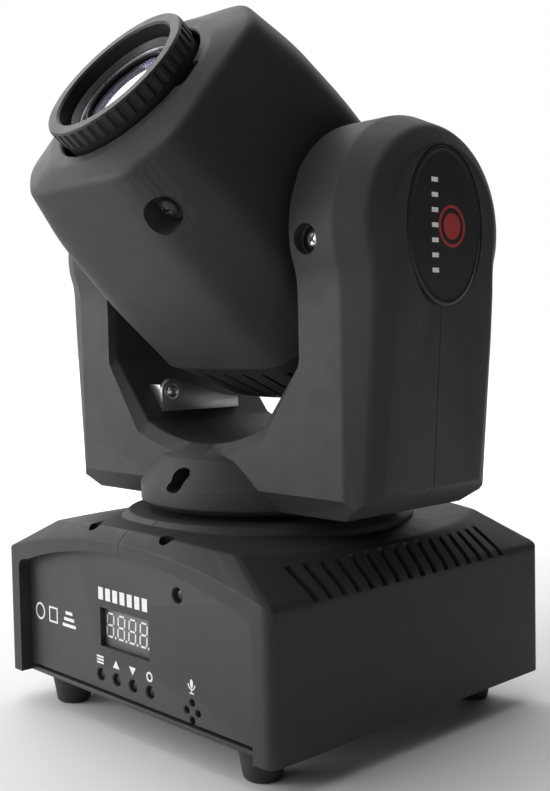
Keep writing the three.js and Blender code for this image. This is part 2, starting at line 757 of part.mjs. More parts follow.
// The gap as a solid that widens at both faces of the yoke.
function gapForm(inset) {
  const slice = (y, grow) => gapOutline(grow).map(([x, z]) => new THREE.Vector3(x, y, z));
  const flare = 3;
  return loft([
    slice(-YOKE_HALF_Y - 30, inset + 14),
    slice(-YOKE_HALF_Y, inset + 5),
    slice(flare - YOKE_HALF_Y, inset),
    slice(YOKE_HALF_Y - flare, inset),
    slice(YOKE_HALF_Y, inset + 5),
    slice(YOKE_HALF_Y + 30, inset + 14),
  ]);
}

function yokeForm(inset) {
  const half = YOKE_HALF_Y - inset;
  const bottom = YOKE_BOTTOM + inset;
  const arm = armForm(inset);
  const crossbar = block(-58, -half, bottom, 58, half, 140);
  const hub = turned([
    [0, HUB_BOTTOM + inset],
    [HUB_R - 2.5 - inset, HUB_BOTTOM + inset],
    [HUB_R - inset, HUB_BOTTOM + 2 + inset],
    [HUB_R - inset, 87.4],
    [39.6 - inset, 100.2 - inset],
    [33 - inset, 104 - inset],
    [0, 104 - inset],
  ], 32);
  const outerChamfer = slabY(shapeOf([
    [64, 60],
    [70 - inset, YOKE_BOTTOM - 0.5 + inset],
    [79.6 - inset, 88.1 + inset * 0.6],
    [83.2 - inset, 91.2 + inset * 0.4],
    [84.6 - inset, 95.7],
    [110, 95.7],
    [110, 60],
  ]), -60, 60);
  const faceChamfer = slabX(shapeOf([
    [-half - 8, 89.5],
    [-half, 89.5],
    [-half + 5, bottom],
    [-half + 5, 60],
    [-half - 8, 60],
  ]), -120, 120);
  const rearChamfer = slabX(shapeOf([
    [half + 8, 89.5],
    [half + 8, 60],
    [half - 5, 60],
    [half - 5, bottom],
    [half, 89.5],
  ]), -120, 120);
  const frame = cut(
    join(crossbar, arm, mirrorX(arm)),
    outerChamfer,
    mirrorX(outerChamfer),
    faceChamfer,
    rearChamfer,
  );
  return join(cut(frame, gapForm(inset)), hub);
}

// A slot with a wide and a narrow round end through the front of the hub.
function keyhole() {
  const depth = [-60, -40];
  const slant = 0.48;
  const dropX = -1.6;
  const dropZ = -3.1;
  const web = block(-2.6, depth[0], -2, 2.6, depth[1], 2).rotateY(slant);
  return join(
    alongY(rod(3.6, ...depth, 12)),
    alongY(rod(2.9, ...depth, 12)).translate(dropX, 0, dropZ),
    web.translate(dropX / 2, 0, dropZ / 2),
  ).translate(KEYHOLE_X, 0, KEYHOLE_Z);
}

// The front half of the yoke's cover. The rear half is the same without the
// keyhole, turned about the pan axis.
function yokeShell(hasKeyhole) {
  const screwPlaces = [-1, 1].map((sign) => (part) => part.translate(sign * ARM_SCREW_X, 0, ARM_SCREW_Z));
  const bosses = screwPlaces.map((at) => at(alongY(rod(5.8, -37, -FRAME_HALF_Y - 1, 12))));
  const pockets = screwPlaces.map((at) => at(alongY(rod(SCREW_POCKET_R, -60, -ARM_SCREW_Y, 12))));
  const pilotHoles = screwPlaces.map((at) => at(alongY(rod(1.8, -40, -22, 8))));
  const shaftHole = alongX(rod(TILT_SHAFT_R + 5, -60, 60)).translate(0, 0, TILT_AXIS_Z);
  const badgeSeat = badgeForm(GAP);
  const hollow = cut(yokeForm(0), yokeForm(WALL));
  return cut(
    join(common(hollow, block(-FAR, -FAR, 0, FAR, -GAP / 2, 300)), ...bosses),
    rod(33, HUB_BOTTOM - 5, HUB_BOTTOM + 5),
    shaftHole,
    badgeSeat,
    mirrorX(badgeSeat),
    ...pockets,
    ...pilotHoles,
    ...(hasKeyhole ? [keyhole()] : []),
  );
}

// The right arm's oval badge, grown by a margin.
function badgeForm(grow) {
  const steps = 20;
  const oval = (x, shrink) => Array.from({ length: steps }, (_, i) => {
    const angle = (i / steps) * TURN;
    const y = (BADGE_HALF_Y + grow - shrink) * Math.cos(angle);
    const z = BADGE_Z + (BADGE_HALF_Z + grow - shrink) * Math.sin(angle);
    return new THREE.Vector3(x, y, z);
  });
  return loft([oval(88.4 - grow, 0), oval(89.8 + grow, 0.8)]);
}

// A steel channel inside the yoke: a floor and two uprights.
function yokeFrame() {
  const outer = FRAME_INNER_X + FRAME_SHEET;
  const top = TILT_AXIS_Z + 20;
  const profile = shapeOf([
    [-outer, FRAME_BOTTOM], [outer, FRAME_BOTTOM], [outer, top], [FRAME_INNER_X, top],
    [FRAME_INNER_X, FRAME_BOTTOM + FRAME_SHEET], [-FRAME_INNER_X, FRAME_BOTTOM + FRAME_SHEET],
    [-FRAME_INNER_X, top], [-outer, top],
  ]);
  return cut(
    slabY(profile, -FRAME_HALF_Y, FRAME_HALF_Y),
    alongX(rod(12.8, -70, 70)).translate(0, 0, TILT_AXIS_Z),
    rod(8.5, 80, 90, 24),
  );
}

function panShaft() {
  const bottom = 41;
  const flangeTop = FRAME_BOTTOM - GAP;
  return turned([
    [8, bottom], [PAN_SHAFT_R, bottom], [PAN_SHAFT_R, flangeTop - 3], [28, flangeTop - 3],
    [28, flangeTop], [8, flangeTop], [8, bottom],
  ], SHAFT_SIDES);
}

function tiltMotor() {
  const can = slabZ(roundedRectangle(TILT_MOTOR_HALF, TILT_MOTOR_HALF, 3), 0, TILT_MOTOR_LENGTH);
  const motor = join(can, rod(2.5, TILT_MOTOR_LENGTH - 1, 20, 12));
  return alongX(motor).translate(FRAME_INNER_X + FRAME_SHEET + GAP, 0, TILT_MOTOR_Z);
}

// A pressed steel bracket standing on the sloping left floor of the yoke's gap.
function gapBracket() {
  const plate = slabX(shapeOf([
    [-23.4, 100], [17, 100], [17, 118.3], [9.8, 119.1],
    [-8.9, 124.2], [-18, 127], [-20.4, 126.6], [-23.4, 123.4],
  ]), -38, -35.8);
  const lip = slabY(shapeOf([[-38, 100], [-37, 124.6], [-44, 124.6], [-47, 117]]), -23.4, -21.8);
  return common(join(plate, lip), gapForm(-GAP));
}

const mirroredParts = [['left', mirrorX], ['right', (geometry) => geometry]];

function buildYoke() {
  place('yoke_shell_front', yokeShell(true), housing);
  place('yoke_shell_rear', yokeShell(false).rotateZ(Math.PI), housing);
  place('yoke_frame', yokeFrame(), steel);
  place('pan_shaft', panShaft(), steel);
  const bearing = alongX(ring(TILT_SHAFT_R + 0.1, 12.4, FRAME_INNER_X - GAP, 61.5, SHAFT_SIDES));
  const armScrew = screw(3.3, 1.4, 10).rotateX(RIGHT_ANGLE);
  for (const [side, mirror] of mirroredParts) {
    place(`arm_badge_${side}`, mirror(badgeForm(0)), badgeGloss);
    place(`tilt_bearing_${side}`, mirror(bearing.clone().translate(0, 0, TILT_AXIS_Z)), brass);
    const seat = armScrew.clone().translate(ARM_SCREW_X, -ARM_SCREW_Y - GAP, ARM_SCREW_Z);
    place(`arm_screw_${side}`, mirror(seat), steel);
  }
  const panPulley = pulley(PAN_SHAFT_R + GAP, LARGE_PULLEY_R, LARGE_PULLEY_R + 2, 24);
  place('pan_pulley', panPulley.translate(0, 0, PAN_BELT_Z), aluminium);
  place('tilt_motor', tiltMotor(), darkSteel);
  const tiltDistance = TILT_AXIS_Z - TILT_MOTOR_Z;
  const tiltBelt = alongX(belt(TILT_PULLEY_R, TILT_MOTOR_PULLEY_R, tiltDistance));
  place('tilt_belt', tiltBelt.translate(TILT_BELT_X, 0, TILT_AXIS_Z), beltRubber);
  const motorPulley = alongX(pulley(2.8, TILT_MOTOR_PULLEY_R, TILT_MOTOR_PULLEY_R + 1.6, 12));
  place('tilt_motor_pulley', motorPulley.translate(TILT_BELT_X, 0, TILT_MOTOR_Z), aluminium);
  place('gap_bracket', gapBracket(), steel);
}

// ---------------------------------------------------------------------- head

function headForm(inset, rear) {
  const count = inset > 0 ? 16 : 32;
  return loft([
    facetRing(49 - inset, 50.5 - inset, rear, count),
    facetRing(50.5 - inset, 49.3 - inset, HEAD_MIDDLE, count),
    facetRing(47.8 - inset, 46.6 - inset, 55, count),
    facetRing(43.1 - inset, 42.3 - inset, HEAD_SHOULDER - inset * 0.5, count),
    circleRing(36 - inset * 0.5, HEAD_FACE - inset, count),
  ]);
}

// The lower half of the head's cover, below the tilt axis. The upper half is
// the same, turned about the head's axis.
function headShell() {
  const boss = rod(8, 30, 44, 16).rotateX(RIGHT_ANGLE).translate(HEAD_SCREW_X, 0, HEAD_SCREW_U);
  const pocket = rod(6.2, 38, 60, 20).rotateX(RIGHT_ANGLE).translate(HEAD_SCREW_X, 0, HEAD_SCREW_U);
  const pilotHole = rod(1.8, 25, 40, 10).rotateX(RIGHT_ANGLE).translate(HEAD_SCREW_X, 0, HEAD_SCREW_U);
  const lowerHalf = block(-FAR, -FAR, -FAR, FAR, -GAP / 2, FAR);
  const outer = common(headForm(0, HEAD_REAR), lowerHalf);
  const hollow = cut(outer, headForm(WALL, HEAD_REAR - 1));
  return cut(
    join(hollow, common(boss, outer)),
    pocket,
    pilotHole,
    rod(HEAD_MOUTH_R, 60, 100, 32),
    block(-HEAD_MOUTH_R - 4, -6, HEAD_FACE - 1.4, HEAD_MOUTH_R + 4, 6, 100),
    alongX(rod(TILT_SHAFT_R + 0.8, -60, 60, 24)),
  );
}

function rearCapForm(inset, front, rear) {
  const count = inset > 0 ? 16 : 32;
  return loft([
    facetRing(33 - inset, 33.5 - inset, rear, count),
    facetRing(35.5 - inset, 36 - inset, rear + 3, count),
    facetRing(40.5 - inset, 41.3 - inset, -41.5, count),
    facetRing(48.4 - inset, 49.9 - inset, front, count),
  ]);
}

function rearCap() {
  const front = HEAD_REAR - GAP;
  const slots = [];
  const slotCount = 28;
  for (let i = 0; i < slotCount; i += 1) {
    const slot = block(30, -0.95, -46, 70, 0.95, -19);
    slots.push(slot.rotateZ(((i + 0.5) / slotCount) * TURN));
  }
  const grilleCount = 5;
  for (let i = 0; i < grilleCount; i += 1) {
    const y = (i - (grilleCount - 1) / 2) * 7.5;
    const half = Math.sqrt(22 ** 2 - y ** 2);
    slots.push(block(-half, y - 1.6, CAP_REAR - 5, half, y + 1.6, CAP_REAR + 5));
  }
  return cut(rearCapForm(0, front, CAP_REAR), rearCapForm(WALL, front + 1, CAP_REAR + WALL), ...slots);
}

// A hollow trunnion with a flange that bolts to the chassis inside the head.
function tiltShaft() {
  return alongX(turned([
    [4.5, 44.8], [11, 44.8], [11, 46.2], [TILT_SHAFT_R, 46.2], [TILT_SHAFT_R, TILT_SHAFT_END],
    [4.5, TILT_SHAFT_END], [4.5, 44.8],
  ], SHAFT_SIDES));
}

const CHASSIS_REAR = -11.7;
const CHASSIS_FRONT = 44;

// A steel channel that carries the lamp, wheels and lenses.
function headChassis() {
  const outer = CHASSIS_X + SHEET;
  const back = CHASSIS_REAR + SHEET;
  const profile = shapeOf([
    [-outer, CHASSIS_REAR], [outer, CHASSIS_REAR], [outer, CHASSIS_FRONT], [CHASSIS_X, CHASSIS_FRONT],
    [CHASSIS_X, back], [-CHASSIS_X, back], [-CHASSIS_X, CHASSIS_FRONT], [-outer, CHASSIS_FRONT],
  ]);
  const channel = cut(slabY(profile, -20, 20), rod(16, -20, 0), alongX(rod(6, -60, 60, 12)));
  const colourPlate = block(-CHASSIS_X - 0.5, -20, 6, CHASSIS_X + 0.5, 28, 6 + SHEET);
  const condenserHolder = ring(12.4, 14.4, -9.6, 7);
  return join(channel, cut(colourPlate, rod(13, 0, 10)), condenserHolder);
}

function heatSink() {
  const half = 30;
  const base = -16;
  const finCount = 11;
  const finRoom = (2 * half) / finCount;
  const outline = [[half, HEAD_REAR - GAP], [-half, HEAD_REAR - GAP]];
  for (let i = 0; i < finCount; i += 1) {
    const x = -half + i * finRoom;
    outline.push([x, -38], [x + finRoom * 0.35, -38], [x + finRoom * 0.35, base]);
    if (i + 1 < finCount) outline.push([x + finRoom, base]);
  }
  outline.push([half, base]);
  return slabY(shapeOf(outline.reverse()), -half, half);
}

function ledModule() {
  return turned([[0, -11.9], [14, -11.9], [14, -10.3], [5, -10.3], [4, -8.4], [0, -7.6]], 24);
}

function biconvexLens(radius, low, high, edge, segments = 32) {
  const middle = (low + high) / 2;
  const bulge = (r) => ((high - low - edge) / 2) * (1 - (r / radius) ** 2) + edge / 2;
  const radii = [0, 0.4, 0.75, 1].map((share) => share * radius);
  const lower = radii.map((r) => [r, middle - bulge(r)]);
  const upper = radii.map((r) => [r, middle + bulge(r)]).reverse();
  return turned([...lower, ...upper], segments);
}

function effectWheel(openings, radius) {
  const disc = new THREE.Shape().absarc(0, 0, WHEEL_R, 0, TURN, false);
  disc.holes.push(new THREE.Path().absarc(0, 0, 2.8, 0, TURN, true));
  for (let i = 0; i < openings; i += 1) {
    const angle = RIGHT_ANGLE + (i / openings) * TURN;
    const x = WHEEL_OFFSET * Math.cos(angle);
    const y = WHEEL_OFFSET * Math.sin(angle);
    disc.holes.push(new THREE.Path().absarc(x, y, radius, 0, TURN, true));
  }
  return slabZ(disc, 0, 1.2, 5);
}

function wheelMotor() {
  return join(rod(8, -10, 0, 16), rod(2.5, -1, 6.5, 8));
}

// The fixed tube round the lens cell, on a plate across the chassis that also
// carries the gobo wheel's motor.
function lensBarrel() {
  const rear = 37.4;
  const plate = block(-CHASSIS_X + GAP, -30, rear, CHASSIS_X - GAP, 30, rear + SHEET);
  return join(cut(plate, rod(10, rear - 5, rear + 5)), ring(BARREL_R, BARREL_R + 1.5, rear + 1, 74));
}

function lensCell() {
  return turned([
    [18, 62], [CELL_R, 62], [CELL_R, 84], [CELL_R - 0.8, 84.5], [LENS_R + 0.4, 82.6], [LENS_R + 0.4, 74.2],
    [18, 73.2], [18, 62],
  ]);
}

function focusRing() {
  return turned([
    [25.9, 68], [28.5, 68], [28.5, 76], [FOCUS_R, 77.5], [FOCUS_R, FOCUS_LIP],
    [FOCUS_BORE_R, FOCUS_LIP], [FOCUS_BORE_R, 76.5], [25.9, 75.5], [25.9, 68],
  ], 32);
}

function fanFrame() {
  const corner = 3;
  const square = roundedRectangle(FAN_HALF, FAN_HALF, corner);
  square.holes.push(new THREE.Path().absarc(0, 0, FAN_HALF - 1.8, 0, TURN, true));
  const frame = slabZ(square, FAN_U, FAN_U + FAN_DEPTH, 6);
  const struts = [0, 1, 2].map((i) => {
    const strut = block(0, -1.2, FAN_U, FAN_HALF - 1, 1.2, FAN_U + SHEET);
    return strut.rotateZ((i / 3) * TURN + 0.4);
  });
  return join(frame, rod(9, FAN_U, FAN_U + SHEET, 12), ...struts);
}

function fanRotor() {
  const low = FAN_U + 2.6;
  const high = FAN_U + FAN_DEPTH - 0.8;
  const bladeCount = 7;
  const blades = Array.from({ length: bladeCount }, (_, i) => {
    const blade = block(8, -0.6, -2.6, FAN_HALF - 3, 0.6, 2.6).rotateX(0.7);
    return blade.translate(0, 0, (low + high) / 2).rotateZ((i / bladeCount) * TURN);
  });
  return join(rod(10, low, high, 14), ...blades);
}

function buildHead() {
  place('head_shell_lower', headShell(), housing, head);
  place('head_shell_upper', headShell().rotateZ(Math.PI), housing, head);
  place('head_rear_cap', rearCap(), housing, head);
  place('head_chassis', headChassis(), steel, head);
  for (const [side, mirror] of mirroredParts) {
    place(`tilt_shaft_${side}`, mirror(tiltShaft()), steel, head);
  }
  const tiltPulley = alongX(pulley(TILT_SHAFT_R + GAP, TILT_PULLEY_R, TILT_PULLEY_R + 2, 24));
  place('tilt_pulley', tiltPulley.translate(TILT_BELT_X, 0, 0), aluminium, head);
  place('heat_sink', heatSink(), aluminium, head);
  place('led_module', ledModule(), brass, head);
  place('condenser_lens', biconvexLens(12, -5.5, 2, 2, 16), lensGlass, head);
  place('colour_motor', wheelMotor().translate(0, WHEEL_OFFSET, 18), darkSteel, head);
  place('colour_wheel', effectWheel(8, 5).rotateZ(Math.PI).translate(0, WHEEL_OFFSET, COLOUR_WHEEL_U), aluminium, head);
  place('gobo_wheel', effectWheel(7, 5.5).translate(0, -WHEEL_OFFSET, GOBO_WHEEL_U), darkSteel, head);
  const goboMotor = wheelMotor().rotateX(Math.PI).translate(0, -WHEEL_OFFSET, 27);
  place('gobo_motor', goboMotor, darkSteel, head);
  place('lens_barrel', lensBarrel(), innerPlastic, head);
  place('lens_cell', lensCell(), innerPlastic, head);
  place('front_lens', biconvexLens(LENS_R, 74.6, 82.6, 2.4, 24), lensGlass, head);
  place('focus_ring', focusRing(), housing, head);
  place('fan_frame', fanFrame(), innerPlastic, head);
  place('fan_rotor', fanRotor(), innerPlastic, head);
}

buildBase();
buildYoke();
buildHead();

export default light;
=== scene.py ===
import json
import math

import bpy
import numpy as np
from mathutils import Matrix, Vector


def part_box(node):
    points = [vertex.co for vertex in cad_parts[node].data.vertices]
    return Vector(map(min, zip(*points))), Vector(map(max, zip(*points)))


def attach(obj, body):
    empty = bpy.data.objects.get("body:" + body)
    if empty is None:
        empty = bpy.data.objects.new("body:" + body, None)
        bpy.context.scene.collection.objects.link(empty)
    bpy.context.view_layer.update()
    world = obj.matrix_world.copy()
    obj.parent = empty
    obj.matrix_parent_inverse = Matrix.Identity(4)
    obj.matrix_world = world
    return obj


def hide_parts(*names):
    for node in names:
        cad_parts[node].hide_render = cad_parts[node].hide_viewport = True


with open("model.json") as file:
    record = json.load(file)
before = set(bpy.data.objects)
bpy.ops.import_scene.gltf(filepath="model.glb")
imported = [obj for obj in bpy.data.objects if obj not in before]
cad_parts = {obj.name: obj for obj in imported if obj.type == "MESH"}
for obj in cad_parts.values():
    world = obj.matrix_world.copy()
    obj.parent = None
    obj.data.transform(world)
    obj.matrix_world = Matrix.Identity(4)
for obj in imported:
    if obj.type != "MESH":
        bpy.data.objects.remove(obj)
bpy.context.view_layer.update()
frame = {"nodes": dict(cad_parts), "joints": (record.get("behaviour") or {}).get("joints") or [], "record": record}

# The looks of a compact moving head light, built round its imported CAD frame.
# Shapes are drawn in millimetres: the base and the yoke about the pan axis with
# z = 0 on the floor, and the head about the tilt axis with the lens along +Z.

# ---------------- dimensions

MM = 0.001
FAR = 200                 # beyond every part, for half-space cuts
TURN = 2 * math.pi
QUARTER = math.pi / 2

joints = {joint["name"]: joint for joint in frame["joints"]}
PAN_Y = joints["pan"]["pos_m"][1] / MM
TILT_Z = joints["tilt"]["pos_m"][2] / MM
LENS_Y, LENS_Z = joints["focus_turn"]["axis"][1:]

SEAM = 0.3                # gap between the halves of a cover
HEAD_SEAM = 0.12          # the head's halves close tighter
WALL = 2.4
PRINT = 0.04              # how far printed marks stand proud of their panel

BASE_HALF_X = 77.5
BASE_HALF_Y = 71.4
BASE_BOTTOM = 12
PLATE_TOP = 13.6          # top of the steel floor
ARCH_EDGE = 61
ARCH_TOP = 72.1
DECK_HALF_X = 54
DECK_HALF_Y = 63
DECK_BULGE_X = 14.5
DECK_BULGE_Y = 4
DECK_TOP = 76.1
DECK_FALL = 2.8
DECK_RING_R = 54
DECK_RING_TOP = 77.8
DECK_HOLE_R = 30
FRAME_DEPTH = 8           # depth of the frame round each panel
PANEL_INSET = 5.2
PANEL_FACE = BASE_HALF_Y - PANEL_INSET
PANEL_HALF_X = 69
PANEL_SHOULDER_X = 62
PANEL_SIDE_TOP = 50.8
PANEL_SHOULDER_Z = 58.1
PANEL_TOP = 67.5
PANEL_MARGIN = 2.2        # how far a panel reaches behind the frame
PANEL_BOTTOM = 13.9
PANEL_THICK = 2
DECK_POCKET = (21.3, -65.4, 75)
VENT_COUNT = 16
VENT_PITCH = 6.5
VENT_HALF = 1.35

SENSOR = (26.2, 56.8, 2.7)          # x, z and radius of the sensor's hole
MIC = (33, 18.6)
MIC_HOLE_R = 1.3
MIC_SPREAD = 3
BUTTONS = ["menu_button", "up_button", "down_button", "enter_button"]
BUTTON_HOLE_R = 2.3
DISPLAY_X = -5.2
DISPLAY_Z = 38
DISPLAY_HALF_X = 15
DISPLAY_HALF_Z = 7.2
DIGIT_PITCH = 6.8
DIGIT_START = -16.9

SOCKET_Z = 34
SOCKET_HOLE_R = 12.3
XLR_X = {"dmx_input": -50, "dmx_output": -18}
INLET_X = 30

YOKE_BOTTOM = 82
YOKE_HALF_Y = 35.2
HUB_BOTTOM = 80
HUB_R = 49.3
HUB_RIM_Z = 88.6
HUB_SHOULDER = (41, 98.9)
HUB_TOP = (33, 104)
YOKE_HOLE_R = 33
GAP_KNEE_Z = 136
GAP_FOOT = (33.8, 111.4)  # where a side of the gap meets its curved floor
GAP_DROP = 7.3
ARM_INNER_X = 54.2
ARM_KNEE_X = 74.5
ARM_LEAN = 0.0925
ARM_LEAN_SPAN = 13.7
ARM_LEAN_TOP = 152
ARM_CREASE = (85.6, 34, 31.2)       # x, boss radius and half depth of an arm's section
ARM_FACE = (89.6, 27, 25.5)
BOSS_R = 38.8
SHAFT_HOLE_R = 13
KEYHOLE = (3.0, 93.5)
ARM_SCREW = (62.5, 174.6)
ARM_SCREW_SEAT = 33.5
SCREW_POCKET_R = 4.6
BADGE_Z = 178.5
BADGE_HALF_Y = 19.5
BADGE_HALF_Z = 26.5
MARK_X = (89.3, 89.72)    # the badge's printed marks, from inside to outside

HEAD_CHAMFER = 0.34
HEAD_RING_POINTS = 288
HEAD_REAR = -12
HEAD_FACE = 80.5
HEAD_MOUTH_R = 31.2
HEAD_SCREW = (32, 58.8)
HEAD_POCKET_R = 6.3
TILT_HOLE_R = 8.8
CAP_REAR = -53
CAP_SLOTS = 28
FOCUS_LIP = 89
FOCUS_R = 29.8
FOCUS_BORE_R = 24.9
FOCUS_RIDGES = 44
LENS_R = 20.0
LENS_MIDDLE = 78.6
LENS_EDGE = 1.2
LENS_BULGE = 2.8

WHITE = (1, 1, 1, 1)
STUDIO_MIDDLE = Vector((0, 0, 0.13))
CAMERA_AT = (0.31419, -0.28792, 0.14231)     # metres from the pan axis
CAMERA_YAW = 46.99
CAMERA_PITCH = 2.97
CAMERA_ROLL = -1.114
CAMERA_LENS = 49.5

BASE_PLACE = Matrix.Translation((0, PAN_Y * MM, 0)) @ Matrix.Scale(MM, 4)
HEAD_TURN = Matrix(((1, 0, 0, 0), (0, LENS_Z, LENS_Y, 0), (0, -LENS_Y, LENS_Z, 0), (0, 0, 0, 1)))
HEAD_PLACE = Matrix.Translation((0, PAN_Y * MM, TILT_Z * MM)) @ HEAD_TURN @ Matrix.Scale(MM, 4)

# ---------------- materials


class Nodes:
    """A short way to add shader nodes to a material or a world and link them."""

    def __init__(self, owner):
        owner.use_nodes = True
        self.owner = owner
        self.tree = owner.node_tree
        self.shader = self.tree.nodes.get("Principled BSDF")
        self.where = self.tree.nodes.new("ShaderNodeTexCoord").outputs["Object"]

    def add(self, kind, links=(), **settings):
        node = self.tree.nodes.new("ShaderNode" + kind)
        for name, value in settings.items():
            if hasattr(node, name):
                setattr(node, name, value)
            else:
                node.inputs[name.replace("_", " ").title()].default_value = value
        for socket, source in dict(links).items():
            self.tree.links.new(source, node.inputs[socket])
        return node

    def noise(self, scale, detail=4.0):
        return self.add("TexNoise", {"Vector": self.where}, scale=scale, detail=detail).outputs["Fac"]

    def ramp(self, source, low, high, start=0.3, end=0.7):
        """The source's range from start to end mapped to a grey or a colour from low to high."""
        node = self.add("ValToRGB", {"Fac": source})
        stops = node.color_ramp.elements
        for stop, position, value in ((stops[0], start, low), (stops[1], end, high)):
            stop.position = position
            stop.color = (*value, 1) if isinstance(value, tuple) else (value, value, value, 1)
        return node.outputs["Color"]

    def fade(self, vector, direction, start, end, low, high):
        """A smooth change from low to high as the vector goes from start to end along a direction."""
        along = self.add("VectorMath", {0: vector}, operation="DOT_PRODUCT")
        along.inputs[1].default_value = direction
        return self.add("MapRange", {"Value": along.outputs["Value"]}, interpolation_type="SMOOTHSTEP",
                        from_min=start, from_max=end, to_min=low, to_max=high).outputs["Result"]

    def bump(self, height, strength, distance):
        return self.add("Bump", {"Height": height}, strength=strength, distance=distance).outputs["Normal"]

    def drive(self, **sources):
        for name, source in sources.items():
            self.tree.links.new(source, self.shader.inputs[name.replace("_", " ")])

    def set(self, **values):
        for name, value in values.items():
            self.shader.inputs[name.replace("_", " ")].default_value = value


def material_nodes(name):
    return Nodes(bpy.data.materials.new(name))


def tinted(color, amount):
    return tuple(channel * amount for channel in color)


def moulded_plastic(name, color, roughness, grain=0.00006, grain_scale=2600):
    """Injection moulded plastic: fine spark texture, soft blotches and rubbed edges."""
    nodes = material_nodes(name)
    shade = nodes.ramp(nodes.noise(45, 3.0), tinted(color, 0.96), tinted(color, 1.04))
    worn = nodes.ramp(nodes.add("NewGeometry").outputs["Pointiness"], 0.0, 0.35, 0.52, 0.6)
    rubbed = nodes.add("Mix", data_type="RGBA")
    nodes.tree.links.new(worn, rubbed.inputs["Factor"])
    nodes.tree.links.new(shade, rubbed.inputs[6])
    rubbed.inputs[7].default_value = (*tinted(color, 1.9), 1)
    rough = nodes.ramp(nodes.noise(160, 5.0), roughness - 0.03, roughness + 0.04)
    texture = nodes.bump(nodes.noise(grain_scale, 2.0), 0.45, grain)
    nodes.drive(Base_Color=rubbed.outputs[2], Roughness=rough, Normal=texture)
    nodes.set(Specular_IOR_Level=0.28)
    return nodes.owner


def metal(name, color, roughness, streak):
    """Metal with fine rolling or turning marks and a few dull patches."""
    nodes = material_nodes(name)
    stretched = nodes.add("Mapping", {"Vector": nodes.where}, scale=streak).outputs["Vector"]
    marks = nodes.add("TexNoise", {"Vector": stretched}, scale=1.0, detail=6.0).outputs["Fac"]
    shade = nodes.ramp(nodes.noise(70), tinted(color, 0.78), tinted(color, 1.12))
    rough = nodes.ramp(marks, roughness - 0.08, roughness + 0.12)
    nodes.drive(Base_Color=shade, Roughness=rough, Normal=nodes.bump(marks, 0.3, 0.00003))
    nodes.set(Metallic=1.0)
    return nodes.owner


def rubber_material(name, color, roughness):
    nodes = material_nodes(name)
    shade = nodes.ramp(nodes.noise(220), tinted(color, 0.8), tinted(color, 1.35))
    rough = nodes.ramp(nodes.noise(500), roughness - 0.08, roughness + 0.08)
    nodes.drive(Base_Color=shade, Roughness=rough, Normal=nodes.bump(nodes.noise(2200), 0.5, 0.00008))
    return nodes.owner


def board_material(name):
    """Green solder mask with paler copper tracks under it."""
    nodes = material_nodes(name)
    tracks = nodes.add("TexBrick", {"Vector": nodes.where}, scale=260.0, color1=(0.012, 0.09, 0.03, 1),
                       color2=(0.016, 0.12, 0.045, 1), mortar=(0.03, 0.2, 0.08, 1))
    nodes.drive(Base_Color=tracks.outputs["Color"], Roughness=nodes.ramp(nodes.noise(90), 0.3, 0.45))
    return nodes.owner


def lens_material(name):
    """Coated glass: clear, with a faint violet sheen and a trace of dust."""
    nodes = material_nodes(name)
    nodes.drive(Roughness=nodes.ramp(nodes.noise(60), 0.0, 0.03, 0.45, 0.9))
    nodes.set(Base_Color=(0.95, 0.94, 0.98, 1), Transmission_Weight=0.92, IOR=1.6)
    nodes.set(Coat_Weight=1.0, Coat_Roughness=0.02, Coat_Tint=(0.93, 0.88, 1.0, 1))
    return nodes.owner


def printed_ink(name, color):
    nodes = material_nodes(name)
    shade = nodes.ramp(nodes.noise(900, 6.0), tinted(color, 0.86), color, 0.25, 0.6)
    rough = nodes.ramp(nodes.noise(400), 0.4, 0.6)
    nodes.drive(Base_Color=shade, Roughness=rough, Normal=nodes.bump(nodes.noise(1800), 0.2, 0.00003))
    return nodes.owner


MATERIALS = {
    "housing": moulded_plastic("housing_plastic", (0.028, 0.0281, 0.0289), 0.56),
    "panel_plastic": moulded_plastic("panel_plastic", (0.038, 0.0381, 0.0392), 0.5, 0.00004, 3600),
    "inner_plastic": moulded_plastic("inner_plastic", (0.014, 0.014, 0.015), 0.45),
    "rubber": rubber_material("foot_rubber", (0.018, 0.018, 0.018), 0.7),
    "belt_rubber": rubber_material("belt_rubber", (0.010, 0.010, 0.010), 0.8),
    "steel": metal("bracket_steel", (0.50, 0.49, 0.47), 0.42, (1600, 500, 1600)),
    "dark_steel": moulded_plastic("painted_steel", (0.035, 0.036, 0.038), 0.4, 0.00004, 1500),
    "aluminium": metal("cast_aluminium", (0.62, 0.63, 0.64), 0.36, (300, 300, 1400)),
    "badge_gloss": moulded_plastic("badge_plastic", (0.022, 0.022, 0.023), 0.3, 0.00001, 3000),
    "circuit_board": board_material("circuit_board"),
    "display": moulded_plastic("display_face", (0.105, 0.108, 0.115), 0.32, 0.00001, 2500),
    "lens_glass": lens_material("lens_glass"),
    "brass": metal("bearing_brass", (0.62, 0.44, 0.18), 0.3, (1200, 1200, 200)),
}
RING_PLASTIC = moulded_plastic("focus_ring_plastic", (0.016, 0.016, 0.0165), 0.5)
WHITE_INK = printed_ink("white_ink", (0.82, 0.82, 0.82))
RED_INK = printed_ink("red_ink", (0.36, 0.022, 0.020))
SCREW_STEEL = metal("screw_steel", (0.55, 0.55, 0.54), 0.3, (1500, 1500, 1500))
LENS_RIM = metal("lens_rim_metal", (0.26, 0.25, 0.27), 0.3, (1500, 1500, 300))

for item in frame["record"]["subparts"]:
    cad_mesh = frame["nodes"][item["node"]].data
    cad_mesh.materials.clear()
    cad_mesh.materials.append(MATERIALS[item["material_slot"]])

# ---------------- mesh building


def plain(points):
    return [tuple(map(float, point)) for point in points]


def add_object(name, data):
    thing = bpy.data.objects.new(name, data)
    bpy.context.scene.collection.objects.link(thing)
    return thing


def mesh_of(points, faces):
    mesh = bpy.data.meshes.new("shape")
    mesh.from_pydata(plain(points), [], faces)
    mesh.update()
    return mesh


